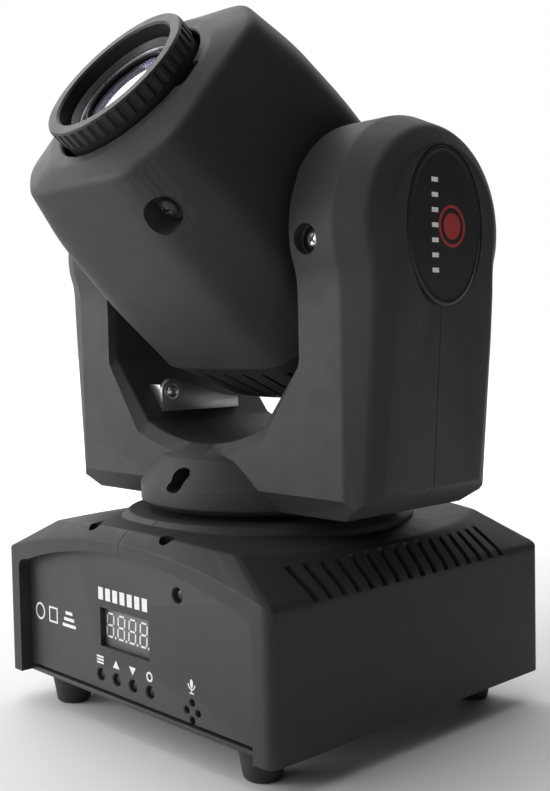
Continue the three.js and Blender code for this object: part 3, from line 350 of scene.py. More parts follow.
def soften(rings, trims, steps=5):
    """Rings or points in a row, with each inner one rounded off over its trim distance."""
    rings = [np.asarray(ring, float) for ring in rings]
    row = [rings[0]]
    for before, ring, after, trim in zip(rings, rings[1:], rings[2:], trims):
        sides = []
        for other in (before, after):
            way = other - ring
            length = np.maximum(np.linalg.norm(way, axis=-1, keepdims=True), 1e-9)
            sides.append(ring + way / length * np.minimum(trim, length * 0.48))
        for t in np.linspace(0, 1, steps + 1):
            row.append((1 - t) ** 2 * sides[0] + 2 * t * (1 - t) * ring + t ** 2 * sides[1])
    row.append(rings[-1])
    return row


def loft(rings):
    """A closed skin through rings that run anticlockwise as seen from the last ring."""
    count = len(rings[0])
    points = [point for ring in rings for point in ring]
    faces = []
    for level in range(len(rings) - 1):
        for i in range(count):
            a = level * count + i
            b = level * count + (i + 1) % count
            faces.append((a, b, b + count, a + count))
    for ring, start, flip in ((rings[0], 0, True), (rings[-1], (len(rings) - 1) * count, False)):
        hub = len(points)
        points.append(np.mean(ring, axis=0))
        for i in range(count):
            a, b = start + i, start + (i + 1) % count
            faces.append((hub, b, a) if flip else (hub, a, b))
    return mesh_of(points, faces)


def lathe(profile, segments=96, wave=None):
    """A body turned about Z from (radius, height) pairs given from the bottom up.

    A profile that starts on the axis also ends there, and any other closes on
    itself. wave(angle, index) gives a change of radius at a profile point.
    """
    closed = profile[0][0] > 0
    inner = profile if closed else profile[1:-1]
    points = []
    for k in range(segments):
        angle = k / segments * TURN
        for index, (radius, height) in enumerate(inner):
            r = radius + (wave(angle, index) if wave else 0)
            points.append((r * math.cos(angle), r * math.sin(angle), height))
    size = len(inner)
    faces = []
    for k in range(segments):
        here, there = k * size, (k + 1) % segments * size
        for i in range(size if closed else size - 1):
            j = (i + 1) % size
            faces.append((here + i, there + i, there + j, here + j))
    if not closed:
        low, high = len(points), len(points) + 1
        points += [(0, 0, profile[0][1]), (0, 0, profile[-1][1])]
        for k in range(segments):
            here, there = k * size, (k + 1) % segments * size
            faces.append((low, there, here))
            faces.append((high, here + size - 1, there + size - 1))
    return mesh_of(points, faces)


def rounded_lathe(profile, trim, segments):
    """A turned body whose profile's corners are rounded off."""
    profile = [np.array(point, float) for point in profile]
    if profile[0][0] > 0:
        wrapped = [profile[-1]] + profile + [profile[0]]
        rows = soften(wrapped, [trim] * len(profile), 3)[1:-1]
    else:
        rows = soften(profile, [trim] * (len(profile) - 2), 3)
    return lathe(rows, segments)


def rod(radius, low, high, segments=32):
    return lathe([(0, low), (radius, low), (radius, high), (0, high)], segments)


def prism(outline, low, high):
    """A flat anticlockwise outline in X and Y made solid from low to high."""
    count = len(outline)
    points = [(x, y, low) for x, y in outline] + [(x, y, high) for x, y in outline]
    sides = [(i, (i + 1) % count, (i + 1) % count + count, i + count) for i in range(count)]
    return mesh_of(points, sides + [tuple(range(count))[::-1], tuple(range(count, 2 * count))])


def block(low, high):
    (x0, y0, z0), (x1, y1, z1) = low, high
    return prism([(x0, y0), (x1, y0), (x1, y1), (x0, y1)], z0, z1)


def placed(mesh, *moves):
    """The mesh after each move in turn: a matrix, or a shift given as (x, y, z)."""
    for move in moves:
        mesh.transform(move if isinstance(move, Matrix) else Matrix.Translation(move))
    return mesh


def turn(degrees, axis):
    return Matrix.Rotation(math.radians(degrees), 4, axis)


def mirrored(mesh):
    twin = mesh.copy()
    twin.transform(Matrix.Scale(-1, 4, (1, 0, 0)))
    twin.flip_normals()
    return twin


TO_X = turn(90, "Y")                                   # +Z becomes +X
TO_Y = turn(-90, "X")                                  # +Z becomes +Y
FLAT_TO_XZ = turn(90, "X")                             # an outline in X and Z, +Z becomes -Y
FLAT_TO_YZ = turn(90, "Z") @ turn(90, "X")             # an outline in Y and Z, +Z becomes +X


def slab_y(outline, low, high):
    """A flat outline in X and Z made solid from y = low to y = high."""
    return placed(prism(outline, -high, -low), FLAT_TO_XZ)


def slab_x(outline, low, high):
    """A flat outline in Y and Z made solid from x = low to x = high."""
    return placed(prism(outline, low, high), FLAT_TO_YZ)


def merged(meshes):
    """Separate bodies as one mesh."""
    points, faces = [], []
    for mesh in meshes:
        start = len(points)
        points += [tuple(vertex.co) for vertex in mesh.vertices]
        faces += [tuple(start + i for i in polygon.vertices) for polygon in mesh.polygons]
    return mesh_of(points, faces)


def applied(mesh, add_modifiers):
    """The mesh as add_modifiers(object) leaves it."""
    body = add_object("work", mesh)
    helpers = add_modifiers(body) or []
    depsgraph = bpy.context.evaluated_depsgraph_get()
    result = bpy.data.meshes.new_from_object(body.evaluated_get(depsgraph))
    for thing in [body, *helpers]:
        bpy.data.objects.remove(thing)
    return result


def boolean(mesh, operation, tools):
    def add(body):
        helpers = []
        for tool in tools:
            helper = add_object("tool", tool)
            modifier = body.modifiers.new("boolean", "BOOLEAN")
            modifier.operation = operation
            modifier.solver = "MANIFOLD"
            modifier.object = helper
            helpers.append(helper)
        return helpers
    return applied(mesh, add)


def cut(mesh, *tools):
    return boolean(mesh, "DIFFERENCE", tools)


def join(mesh, *tools):
    return boolean(mesh, "UNION", tools)


def common(mesh, *tools):
    return boolean(mesh, "INTERSECT", tools)


def bevelled(mesh, width):
    """The mesh with its sharp edges rounded by width millimetres."""
    def add(body):
        modifier = body.modifiers.new("bevel", "BEVEL")
        modifier.width = width
        modifier.segments = 2
        modifier.limit_method = "ANGLE"
        modifier.angle_limit = math.radians(40)
        modifier.miter_outer = "MITER_ARC"
    return applied(mesh, add)


def box_mm(node):
    """A frame node's lowest and highest corners at rest, in millimetres about the pan axis."""
    low, high = (corner / MM - Vector((0, PAN_Y, 0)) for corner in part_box(node))
    return low, high


def piece(name, mesh, body, slot, place=BASE_PLACE, material=None, stands_for=(), smooth=32):
    """A finished visible piece that rides on a body."""
    mesh = mesh.copy()
    mesh.transform(place)
    mesh.name = name
    mesh.materials.clear()
    mesh.materials.append(material or MATERIALS[slot])
    mesh.shade_smooth()
    mesh.set_sharp_from_angle(angle=math.radians(smooth))
    thing = add_object(name, mesh)
    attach(thing, body)
    if stands_for:
        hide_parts(*stands_for)


def arch_height(across, half_span, end_height, mid_height):
    rise = mid_height - end_height
    radius = (half_span ** 2 + rise ** 2) / (2 * rise)
    across = np.minimum(np.abs(across), half_span)
    return mid_height - radius + np.sqrt(radius ** 2 - across ** 2)


def arc(x, y, radius, start, end, steps=8):
    angles = np.radians(np.linspace(start, end, steps + 1))
    return [(x + radius * math.cos(a), y + radius * math.sin(a)) for a in angles]


def rounded_box(half_x, half_y, corner):
    x, y = half_x - corner, half_y - corner
    corners = ((x, y, 0), (-x, y, 90), (-x, -y, 180), (x, -y, 270))
    return [p for cx, cy, start in corners for p in arc(cx, cy, corner, start, start + 90)]


def ellipse(half_x, half_y, steps=64):
    return [(half_x * math.cos(a), half_y * math.sin(a)) for a in np.linspace(0, TURN, steps, False)]


def cross_screw(head_r, length=6):
    """A pan head screw with a cross recess, its head towards +Z from z = 0."""
    body = rounded_lathe([
        (0, -length), (head_r * 0.42, -length), (head_r * 0.42, 0), (head_r, 0), (head_r, head_r * 0.32),
        (head_r * 0.62, head_r * 0.66), (0, head_r * 0.74),
    ], head_r * 0.1, 40)
    half_x, half_y = head_r * 0.55, head_r * 0.13
    arm = block((-half_x, -half_y, head_r * 0.18), (half_x, half_y, head_r * 2))
    other_arm = placed(arm.copy(), turn(90, "Z"))
    pit = lathe([(0, 0), (head_r * 0.3, head_r * 0.9), (0, head_r * 0.9)], 16)
    return cut(body, arm, other_arm, pit)


# ---------------- base


def base_ring(half_x, half_y, corner, height, bulge_x=0, bulge_y=0):
    """A ring round the base: a rectangle with round corners and sides that may bow out.

    height is a number, or a function of x.
    """
    corner_steps = 8
    side_steps = 40
    points = []
    signs = ((1, 1), (-1, 1), (-1, -1), (1, -1))
    for index, (sign_x, sign_y) in enumerate(signs):
        start = index * QUARTER
        for i in range(corner_steps + 1):
            angle = start + i / corner_steps * QUARTER
            points.append((sign_x * (half_x - corner) + corner * math.cos(angle),
                           sign_y * (half_y - corner) + corner * math.sin(angle)))
        next_x, next_y = signs[(index + 1) % 4]
        last = np.array(points[-1])
        out = np.array((math.cos(start + QUARTER), math.sin(start + QUARTER)))
        end = np.array((next_x * (half_x - corner), next_y * (half_y - corner))) + corner * out
        for i in range(1, side_steps):
            t = i / side_steps
            bow = 4 * t * (1 - t) * out * (bulge_x, bulge_y)
            points.append(tuple(last + (end - last) * t + bow))
    flat = np.array(points)
    heights = height(flat[:, 0]) if callable(height) else np.full(len(flat), height)
    return np.column_stack([flat, heights])


def wall_top(x):
    return arch_height(x, BASE_HALF_X, ARCH_EDGE, ARCH_TOP)


def deck_height(x):
    return DECK_TOP - DECK_FALL * (x / DECK_HALF_X) ** 2


def base_form():
    """The base's outer form with soft creases at the wall's top and round the deck."""
    bottom = base_ring(BASE_HALF_X, BASE_HALF_Y, 4, BASE_BOTTOM)
    crease = base_ring(BASE_HALF_X, BASE_HALF_Y, 4, wall_top)
    deck = base_ring(DECK_HALF_X, DECK_HALF_Y, 3, deck_height, DECK_BULGE_X, DECK_BULGE_Y)
    inner_decks = []
    for share in (0.8, 0.55, 0.3):
        ring = deck * (share, share, 1)
        ring[:, 2] = deck_height(ring[:, 0])
        inner_decks.append(ring)
    at_ends = np.abs(crease[:, 1:2]) > BASE_HALF_Y - 2
    crease_trim = np.where(at_ends, 0.9, 2.6)
    return loft(soften([bottom, crease, deck, inner_decks[0]], [crease_trim, 1.6]) + inner_decks[1:])


def base_hollow():
    half_x, half_y = BASE_HALF_X - WALL, BASE_HALF_Y - FRAME_DEPTH
    return loft([
        base_ring(half_x, half_y, 3, BASE_BOTTOM - 1),
        base_ring(half_x, half_y, 3, wall_top) - (0, 0, WALL),
        base_ring(DECK_HALF_X - 2, half_y - 5, 3, deck_height, DECK_BULGE_X, DECK_BULGE_Y) - (0, 0, WALL),
    ])


def panel_outline(margin, bottom):
    """The arched opening for the front and rear panels, grown by a margin."""
    half_x = PANEL_HALF_X + margin
    shoulder_z = PANEL_SHOULDER_Z + margin
    side = soften([
        (half_x, PANEL_SIDE_TOP - 2),
        (half_x, shoulder_z - 1.2),
        (PANEL_SHOULDER_X, shoulder_z),
    ], [7.2], 10)
    across = np.linspace(PANEL_SHOULDER_X, -PANEL_SHOULDER_X, 41)[1:-1]
    top = [(x, float(arch_height(x, PANEL_SHOULDER_X, shoulder_z, PANEL_TOP + margin))) for x in across]
    right = plain(side)
    left = [(-x, z) for x, z in reversed(right)]
    return [(-half_x, bottom), (half_x, bottom)] + right + top + left


def vent_slots():
    """Slanted slots through the right side's slope."""
    slots = []
    for i in range(VENT_COUNT):
        y = (i - (VENT_COUNT - 1) / 2) * VENT_PITCH - 2
        reach = 1 - (y / DECK_HALF_Y) ** 2
        top_x, top_z = 61.3 + 8 * reach, 71.6 - 4 * reach
        outline = [
            (BASE_HALF_X - 5, 60), (BASE_HALF_X + 1, 60), (BASE_HALF_X + 1, 64),
            (top_x + 2, top_z + 4), (top_x, top_z + 3), (top_x - 1, top_z - 4),
        ]
        slots.append(slab_y(outline, y - VENT_HALF, y + VENT_HALF))
    return merged(slots)


def deck_pocket():
    """A screw pocket near the deck's front edge, with a short groove that fades out."""
    hole = rod(3.2, -7, 10)
    groove = lathe([(0, 0), (2.4, 0), (1.1, 9), (0, 9.6)], 24)
    groove = placed(groove, TO_Y, turn(2, "X"), turn(-38, "Z"), (0, 0, 1.3))
    return placed(join(hole, groove), DECK_POCKET)


def build_base_shells():
    rim = rounded_lathe([
        (0, DECK_TOP - 6), (DECK_RING_R + 3, DECK_TOP - 6), (DECK_RING_R + 3, DECK_TOP - 0.8),
        (DECK_RING_R, DECK_RING_TOP), (DECK_RING_R - 8, DECK_RING_TOP), (0, DECK_RING_TOP),
    ], 0.7, 160)
    shell = cut(
        join(base_form(), rim),
        base_hollow(),
        slab_y(panel_outline(0, BASE_BOTTOM - 1), -BASE_HALF_Y - 1, BASE_HALF_Y + 1),
        slab_y(panel_outline(2.5, BASE_BOTTOM - 1), -PANEL_FACE, PANEL_FACE),
        rod(DECK_HOLE_R, 50, 90, 96),
        deck_pocket(),
        mirrored(deck_pocket()),
        vent_slots(),
        mirrored(vent_slots()),
    )
    right = cut(shell, block((-FAR, -FAR, 0), (SEAM / 2, FAR, FAR)))
    left = cut(shell, block((-SEAM / 2, -FAR, 0), (FAR, FAR, FAR)))
    piece("base_cover_right", right, "base", "housing", stands_for=["base_shell_right"])
    piece("base_cover_left", left, "base", "housing", stands_for=["base_shell_left"])


def drill_y(x, z, radius, segments=32):
    """A cutter for a round hole through a panel."""
    return placed(rod(radius, -90, 90, segments), TO_Y, (x, 0, z))


def countersink_y(x, z, radius):
    """A short cone that takes the sharp edge off a hole in the front panel."""
    flare = 0.35
    cone = lathe([(0, -0.5), (radius + flare + 0.5, -0.5), (radius, flare), (0, flare)], 32)
    return placed(cone, TO_Y, (x, -PANEL_FACE, z))


def button_places():
    """Where the frame has each menu button, as (x, z)."""
    middles = [sum(box_mm(name), Vector()) / 2 for name in BUTTONS]
    return [(middle.x, middle.z) for middle in middles]


def panel_plate(low_y, high_y, *holes):
    """A panel behind its arched opening, notched for the steel floor's lip."""
    notch = block((-66, low_y - 1, BASE_BOTTOM), (66, high_y + 1, PLATE_TOP + 1))
    return cut(slab_y(panel_outline(PANEL_MARGIN, PANEL_BOTTOM), low_y, high_y), notch, *holes)


def build_front_panel():
    rounds = [SENSOR, *((x, z, BUTTON_HOLE_R) for x, z in button_places())]
    for step_x, step_z in ((0, 1), (0, -1), (1, 0), (-1, 0)):
        rounds.append((MIC[0] + step_x * MIC_SPREAD, MIC[1] + step_z * MIC_SPREAD, MIC_HOLE_R))
    window = block(
        (DISPLAY_X - DISPLAY_HALF_X, -90, DISPLAY_Z - DISPLAY_HALF_Z),
        (DISPLAY_X + DISPLAY_HALF_X, 0, DISPLAY_Z + DISPLAY_HALF_Z),
    )
    drills = merged([drill_y(*hole) for hole in rounds])
    countersinks = merged([countersink_y(*hole) for hole in rounds])
    plate = panel_plate(-PANEL_FACE, PANEL_THICK - PANEL_FACE, window, drills, countersinks)
    piece("menu_panel", plate, "base", "panel_plastic", stands_for=["front_panel"])


def flat_mark(outline):
    """A printed mark in the front panel's plane: an outline in X and Z."""
    return slab_y(outline, -PANEL_FACE - PRINT, -PANEL_FACE + 0.5)


def bar_outline(x, z, half_x, half_z):
    low_x, high_x, low_z, high_z = x - half_x, x + half_x, z - half_z, z + half_z
    return [(low_x, low_z), (high_x, low_z), (high_x, high_z), (low_x, high_z)]


def ring_mark(x, z, outer, inner):
    ring = lathe([(inner, 0), (outer, 0), (outer, 0.54), (inner, 0.54)], 40)
    return placed(ring, TO_Y, (x, -PANEL_FACE - PRINT, z))


def build_panel_marks():
    """Plain printed signs in place of lettering: bars, arrows and simple pictograms."""
    marks = []
    for i in range(7):                                   # label strip over the display
        marks.append(flat_mark(bar_outline(-19.4 + i * 4.5, 50.4, 1.5, 2.3)))
    menu, up, down, enter = button_places()
    label_z = menu[1] + 5.6
    for i in range(3):                                   # menu: three lines
        marks.append(flat_mark(bar_outline(menu[0], label_z - 1.1 + i * 1.15, 2.2, 0.34)))
    for (x, _), way in ((up, 1), (down, -1)):            # up and down: arrow heads
        tip = [(x - 2, label_z - 1.3 * way), (x + 2, label_z - 1.3 * way), (x, label_z + 1.6 * way)]
        marks.append(flat_mark(tip if way > 0 else tip[::-1]))
    marks.append(ring_mark(enter[0], label_z, 1.8, 1.1))  # enter: a ring
    mic_z = MIC[1] + 9.6                                 # microphone: capsule, cradle and stand
    marks.append(flat_mark([(x + MIC[0], z + mic_z) for x, z in ellipse(0.8, 1.5, 24)]))
    marks.append(flat_mark(bar_outline(MIC[0], mic_z - 2.7, 0.25, 0.5)))
    marks.append(flat_mark(bar_outline(MIC[0], mic_z - 3.3, 1.2, 0.22)))
    cradle = arc(MIC[0], mic_z - 0.2, 2.0, 180, 360, 16) + arc(MIC[0], mic_z - 0.2, 1.5, 360, 180, 16)
    marks.append(flat_mark(cradle))
    marks.append(ring_mark(-62.2, 36.6, 3.4, 2.6))       # plain shapes at the panel's left
    square = flat_mark(bar_outline(-52.6, 36.6, 3.1, 3.1))
    marks.append(cut(square, slab_y(bar_outline(-52.6, 36.6, 2.4, 2.4), -90, 0)))
    for i in range(3):
        marks.append(flat_mark(bar_outline(-41.4, 34.2 + i * 2.4, 4.6 - i * 1.1, 0.62)))
    piece("panel_marks", merged(marks), "base", "panel_plastic", material=WHITE_INK)


def segment_outline(length, half_width):
    """One bar of a digit along X, with pointed ends."""
    half = length / 2
    return [
        (-half, 0), (-half + half_width, -half_width), (half - half_width, -half_width),
        (half, 0), (half - half_width, half_width), (-half + half_width, half_width),
    ]


def digit_outlines(x, z):
    """Outlines of a figure eight and its point, drawn as a segment display."""
    width, height, half_bar = 4.0, 8.6, 0.36
    slant = 0.07
    bars = []
    for level in (-0.5, 0, 0.5):
        bars.append([(px, pz + level * height) for px, pz in segment_outline(width - 0.7, half_bar)])
    for side in (-0.5, 0.5):
        for middle in (-0.25, 0.25):
            bar = segment_outline(height / 2 - 0.7, half_bar)
            bars.append([(-pz + side * width, px + middle * height) for px, pz in bar])
    bars.append([(px + width / 2 + 1.3, pz - height / 2) for px, pz in ellipse(0.5, 0.5, 16)])
    return [[(x + px + pz * slant, z + pz) for px, pz in bar] for bar in bars]


def build_display():
    low, high = box_mm("display_module")
    piece("display_block", bevelled(block(low, high), 0.3), "base", "display", stands_for=["display_module"])
    bars = []
    for i in range(4):
        for outline in digit_outlines(DIGIT_START + i * DIGIT_PITCH, DISPLAY_Z + 0.5):
            bars.append(slab_y(outline, low.y - 0.05, low.y + 0.3))
    piece("display_digits", merged(bars), "base", "display", material=WHITE_INK)


def build_buttons():
    for name, (x, z) in zip(BUTTONS, button_places()):
        low, high = box_mm(name)
        cap = rounded_lathe([
            (0, low.y + 0.7), (1.2, low.y + 0.9), (1.9, low.y + 1.4), (1.9, low.y + 2.2), (3, low.y + 2.2),
            (3, low.y + 3.4), (1.9, low.y + 3.4), (1.9, high.y), (0, high.y),
        ], 0.25, 40)
        key = name.replace("_button", "_key")
        piece(name + "_cap", placed(cap, TO_Y, (x, 0, z)), key, "inner_plastic", stands_for=[name])


def build_sensor():
    """The dark dome behind the panel's round sensor hole."""
    x, z, radius = SENSOR
    side = radius - 0.05
    dome = rounded_lathe([(0, -2), (side, -2), (side, -0.6), (1.6, 0.6), (0, 1.0)], 0.4, 40)
    dome = placed(dome, turn(90, "X"), (x, PANEL_THICK - PANEL_FACE, z))
    piece("sensor_dome", dome, "base", "badge_gloss")


def build_feet():
    for name in ("foot_front_left", "foot_rear_left", "foot_front_right", "foot_rear_right"):
        low, high = box_mm(name)
        middle = (low + high) / 2
        foot = rounded_lathe([
            (0, 4.8), (2.6, 4.8), (2.6, 0), (5.6, 0), (6.5, 0.9), (8.2, 10.6), (8.5, 11.7), (0, 11.7),
        ], 0.45, 56)
        foot = placed(foot, (middle.x, middle.y, 0))
        piece(name.replace("foot_", "rubber_foot_"), foot, "base", "rubber", stands_for=[name])


def build_base_plate():
    half_x = BASE_HALF_X - WALL - SEAM
    half_y = BASE_HALF_Y - FRAME_DEPTH - SEAM
    tab_y = PANEL_FACE + 0.7
    plate = block((-half_x, -half_y, BASE_BOTTOM), (half_x, half_y, PLATE_TOP))
    tab = block((-68.6, -tab_y, BASE_BOTTOM), (68.6, tab_y, PLATE_TOP))
    corners = []
    for x in (-half_x - 3, half_x + 3):
        for y in (-half_y - 3, half_y + 3):
            corners.append(placed(block((-6, -6, 0), (6, 6, 20)), turn(45, "Z"), (x, y, 0)))
    holes = [placed(rod(4, 0, 20), (x, y, 0)) for x in (-40, 40) for y in (-25, 25)]
    plate = cut(join(cut(plate, *corners), tab), merged(holes))
    piece("steel_floor", bevelled(plate, 0.25), "base", "dark_steel", stands_for=["base_plate"])


def build_rear():
    """The connector panel, two signal sockets, the mains inlet and their screws."""
    holes = [drill_y(x, SOCKET_Z, SOCKET_HOLE_R, 64) for x in XLR_X.values()]
    inlet_hole = placed(prism(rounded_box(14.5, 10.5, 2), 0, 90), TO_Y, (INLET_X, 0, SOCKET_Z))
    plate = panel_plate(PANEL_FACE - PANEL_THICK, PANEL_FACE, merged(holes), inlet_hole)
    piece("connector_panel", plate, "base", "panel_plastic", stands_for=["rear_panel"])

    flange = prism(rounded_box(13, 15.5, 2), 0.3, 2.3)
    shell = join(bevelled(flange, 0.5), rod(11.6, -19, 1, 64))
    pin_angles = [-QUARTER + (i - 1) * 1.2 for i in range(3)]
    spots = [(5 * math.cos(a), 5 * math.sin(a), 0) for a in pin_angles]
    pin = rounded_lathe([(0, -17), (1.2, -17), (1.2, -3), (0, -3)], 0.5, 20)
    pins = [placed(pin.copy(), spot) for spot in spots]
    contact_holes = [placed(rod(1.4, -14, 5, 20), spot) for spot in spots]
    groove = lathe([(9, -12), (9.8, -12), (9.8, 5), (9, 5)], 64)
    sockets = {
        "dmx_input": join(cut(shell, rod(9.6, -16, 5, 64)), merged(pins)),
        "dmx_output": cut(shell, groove, merged(contact_holes)),
    }
    screws = []
    for name, socket in sockets.items():
        at = (XLR_X[name], PANEL_FACE, SOCKET_Z)
        piece(name + "_socket", placed(socket, TO_Y, at), "base", "inner_plastic", stands_for=[name])
        for sign in (-1, 1):
            corner = (at[0] + sign * 10.4, PANEL_FACE + 2.3, SOCKET_Z + sign * 12.8)
            screws.append(placed(cross_screw(1.6, 2), TO_Y, corner))

    cover = bevelled(prism(rounded_box(17.5, 14, 3), 0.3, 2.8), 0.6)
    cover = join(cover, prism(rounded_box(14, 10, 1.8), -20, 1))
    blades = []
    for x in (-7, 0, 7):
        low, high = (-3.5, 0.5) if x else (-0.5, 3.5)
        blades.append(block((x - 1, low, -17), (x + 1, high, -3)))
    inlet = join(cut(cover, prism(rounded_box(12, 8, 1.5), -16, 5)), merged(blades))
    inlet = placed(inlet, TO_Y, (INLET_X, PANEL_FACE, SOCKET_Z))
    piece("mains_inlet", inlet, "base", "inner_plastic", stands_for=["power_inlet"])
    for sign in (-1, 1):
        screws.append(placed(cross_screw(1.5, 2), TO_Y, (INLET_X + sign * 15.7, PANEL_FACE + 2.8, SOCKET_Z)))
    piece("socket_screws", merged(screws), "base", "steel", material=SCREW_STEEL)


# ---------------- yoke


def arm_outline(boss_r, half_y, bottom):
    """An arm's section in Y and Z: straight sides that flare softly into a round top."""
    flare = math.acos(half_y / boss_r)
    flare_z = TILT_Z - boss_r * math.sin(flare)
    side = soften([
        (half_y, ARM_LEAN_TOP - 12),
        (half_y, flare_z),
        (boss_r * math.cos(flare * 0.5), TILT_Z - boss_r * math.sin(flare * 0.5)),
    ], [9], 8)
    straight = [(half_y, z) for z in np.linspace(bottom, ARM_LEAN_TOP - 12, 4)[:-1]]
    right = straight + plain(side)
    start = math.degrees(-flare * 0.5)
    top = arc(0, TILT_Z, boss_r, start, 180 - start, 56)[1:-1]
    left = [(-y, z) for y, z in reversed(right)]
    return right + top + left


def arm_section(x, boss_r, half_y, shrink=0.0):
    lean = ARM_LEAN * max(0.0, (x - ARM_KNEE_X) / ARM_LEAN_SPAN)
    outline = arm_outline(boss_r - shrink, half_y - shrink, YOKE_BOTTOM + shrink)
    return np.array([(x - lean * max(0.0, ARM_LEAN_TOP - z), y, z) for y, z in outline])


def arm_form():
    """The right arm, with soft creases between its facets."""
    rings = [
        arm_section(ARM_INNER_X, BOSS_R, YOKE_HALF_Y, 3),
        arm_section(ARM_INNER_X, BOSS_R, YOKE_HALF_Y),
        arm_section(ARM_KNEE_X, BOSS_R, YOKE_HALF_Y),
        arm_section(*ARM_CREASE),
        arm_section(*ARM_FACE),
        arm_section(*ARM_FACE, 6),
    ]
    return loft(soften(rings, [1.0, 1.1, 1.8, 1.2], 6))


def gap_ring(y, grow, widen):
    """The gap between the arms seen from the front, at a depth y: its floor grown, its sides widened."""
    inner_x = ARM_INNER_X + widen
    foot_x, foot_z = GAP_FOOT[0] + grow * 0.6, GAP_FOOT[1] - grow * 0.9
    radius = (foot_x ** 2 + GAP_DROP ** 2) / (2 * GAP_DROP)
    floor_x = np.linspace(1, -1, 25) * foot_x
    floor = [(x, foot_z - GAP_DROP + radius - math.sqrt(radius ** 2 - x ** 2)) for x in floor_x]
    side = soften([(inner_x, 260), (inner_x, GAP_KNEE_Z - grow * 0.5), floor[0]], [2.5], 4)
    right = plain(side[:-1])
    left = [(-x, z) for x, z in reversed(right)]
    return np.array([(x, y, z) for x, z in right + floor + left])


def gap_form():
    """The gap as a body, flared at the yoke's front and rear faces."""
    stations = ((YOKE_HALF_Y - 3, 0, 0), (YOKE_HALF_Y, 5, 1.2), (YOKE_HALF_Y + 30, 14, 0.5))
    half = [gap_ring(*station) for station in stations]
    rings = [ring * (1, -1, 1) for ring in reversed(half)] + half
    return loft(soften(rings, [0.6, 0.9, 0.9, 0.6], 3))


def yoke_form():
    arm = arm_form()
    crossbar = block((-58, -YOKE_HALF_Y, YOKE_BOTTOM), (58, YOKE_HALF_Y, 140))
    hub = rounded_lathe([
        (0, HUB_BOTTOM), (HUB_R - 2.5, HUB_BOTTOM), (HUB_R, HUB_BOTTOM + 2), (HUB_R, HUB_RIM_Z),
        HUB_SHOULDER, HUB_TOP, (0, HUB_TOP[1]),
    ], 0.5, 160)
    side_cut = slab_y([
        (64, 60), (110, 60), (110, 95.7), (84.6, 95.7), (83.2, 91.2), (79.6, 88.1), (70, YOKE_BOTTOM - 0.5),
    ], -60, 60)
    front_cut = slab_x([
        (-YOKE_HALF_Y - 8, 89.5), (-YOKE_HALF_Y - 8, 60), (-YOKE_HALF_Y + 5, 60),
        (-YOKE_HALF_Y + 5, YOKE_BOTTOM), (-YOKE_HALF_Y, 89.5),
    ], -120, 120)
    rear_cut = placed(front_cut.copy(), turn(180, "Z"))
    body = cut(join(crossbar, arm, mirrored(arm)), side_cut, mirrored(side_cut), front_cut, rear_cut)
    return join(cut(body, gap_form()), hub)


def yoke_hollow():
    """The room inside the covers: simple boxes well inside the outer form."""
    half_y = YOKE_HALF_Y - 5
    head_room = arc(0, TILT_Z, 27, 0, 180, 24)
    arm = slab_x([(-half_y, 88), (half_y, 88), (half_y, 160)] + head_room + [(-half_y, 160)], 57, 79)
    floor = block((-60, -half_y, 86), (60, half_y, 99))
    return join(arm, mirrored(arm), floor)


def keyhole():
    """A slot with a wide upper end and a narrower lower end, through the front of the hub."""
    drop_x, drop_z = -0.2, -3.8
    wide = ellipse(4.2, 2.7, 48)
    narrow = [(x + drop_x, z + drop_z) for x, z in ellipse(3.8, 2.3, 48)]
    web = [(-3.3, 0), (-3.5, drop_z), (3.3, drop_z), (4.0, 0)]
    slots = [slab_y(outline, -60, -38) for outline in (wide, narrow, web)]
    return placed(join(*slots), (KEYHOLE[0], 0, KEYHOLE[1]))


def badge_oval(x, shrink):
    outline = ellipse(BADGE_HALF_Y - shrink, BADGE_HALF_Z - shrink, 96)
    return np.array([(x, y, BADGE_Z + z) for y, z in outline])


def build_yoke_shells():
    badge_seat = loft([badge_oval(88.1, -0.3), badge_oval(92, -0.3)])
    wide, edge_y = SCREW_POCKET_R + 0.5, -YOKE_HALF_Y + 0.5
    pocket_edge = lathe([
        (0, -60), (wide, -60), (wide, -YOKE_HALF_Y), (SCREW_POCKET_R, edge_y), (0, edge_y),
    ], 48)
    pocket = join(rod(SCREW_POCKET_R, -60, -ARM_SCREW_SEAT + 0.3, 48), pocket_edge)
    pocket = placed(pocket, TO_Y, (ARM_SCREW[0], 0, ARM_SCREW[1]))
    rear_pocket = placed(pocket.copy(), turn(180, "Z"))
    shaft_hole = placed(rod(SHAFT_HOLE_R, -60, 60, 64), TO_X, (0, 0, TILT_Z))
    body = cut(
        yoke_form(),
        yoke_hollow(),
        rod(YOKE_HOLE_R, HUB_BOTTOM - 5, 90, 96),
        shaft_hole,
        badge_seat,
        mirrored(badge_seat),
        pocket,
        mirrored(pocket),
        rear_pocket,
        mirrored(rear_pocket),
    )
    front = cut(body, block((-FAR, -SEAM / 2, 0), (FAR, FAR, 300)), keyhole())
    rear = cut(body, block((-FAR, -FAR, 0), (FAR, SEAM / 2, 300)))
    piece("yoke_cover_front", front, "yoke", "housing", stands_for=["yoke_shell_front"])
    piece("yoke_cover_rear", rear, "yoke", "housing", stands_for=["yoke_shell_rear"])


def build_arm_screws():
    for side, sign in (("left", -1), ("right", 1)):
        for end, turned in (("front", 90), ("rear", -90)):
            seat = (sign * ARM_SCREW[0], math.copysign(ARM_SCREW_SEAT - 0.2, -turned), ARM_SCREW[1])
            screw = placed(cross_screw(3.3, 8), turn(20 + 30 * sign, "Z"), turn(turned, "X"), seat)
            replaced = [f"arm_screw_{side}"] if end == "front" else []
            piece(f"arm_{end}_screw_{side}", screw, "yoke", "steel", BASE_PLACE, SCREW_STEEL, replaced)


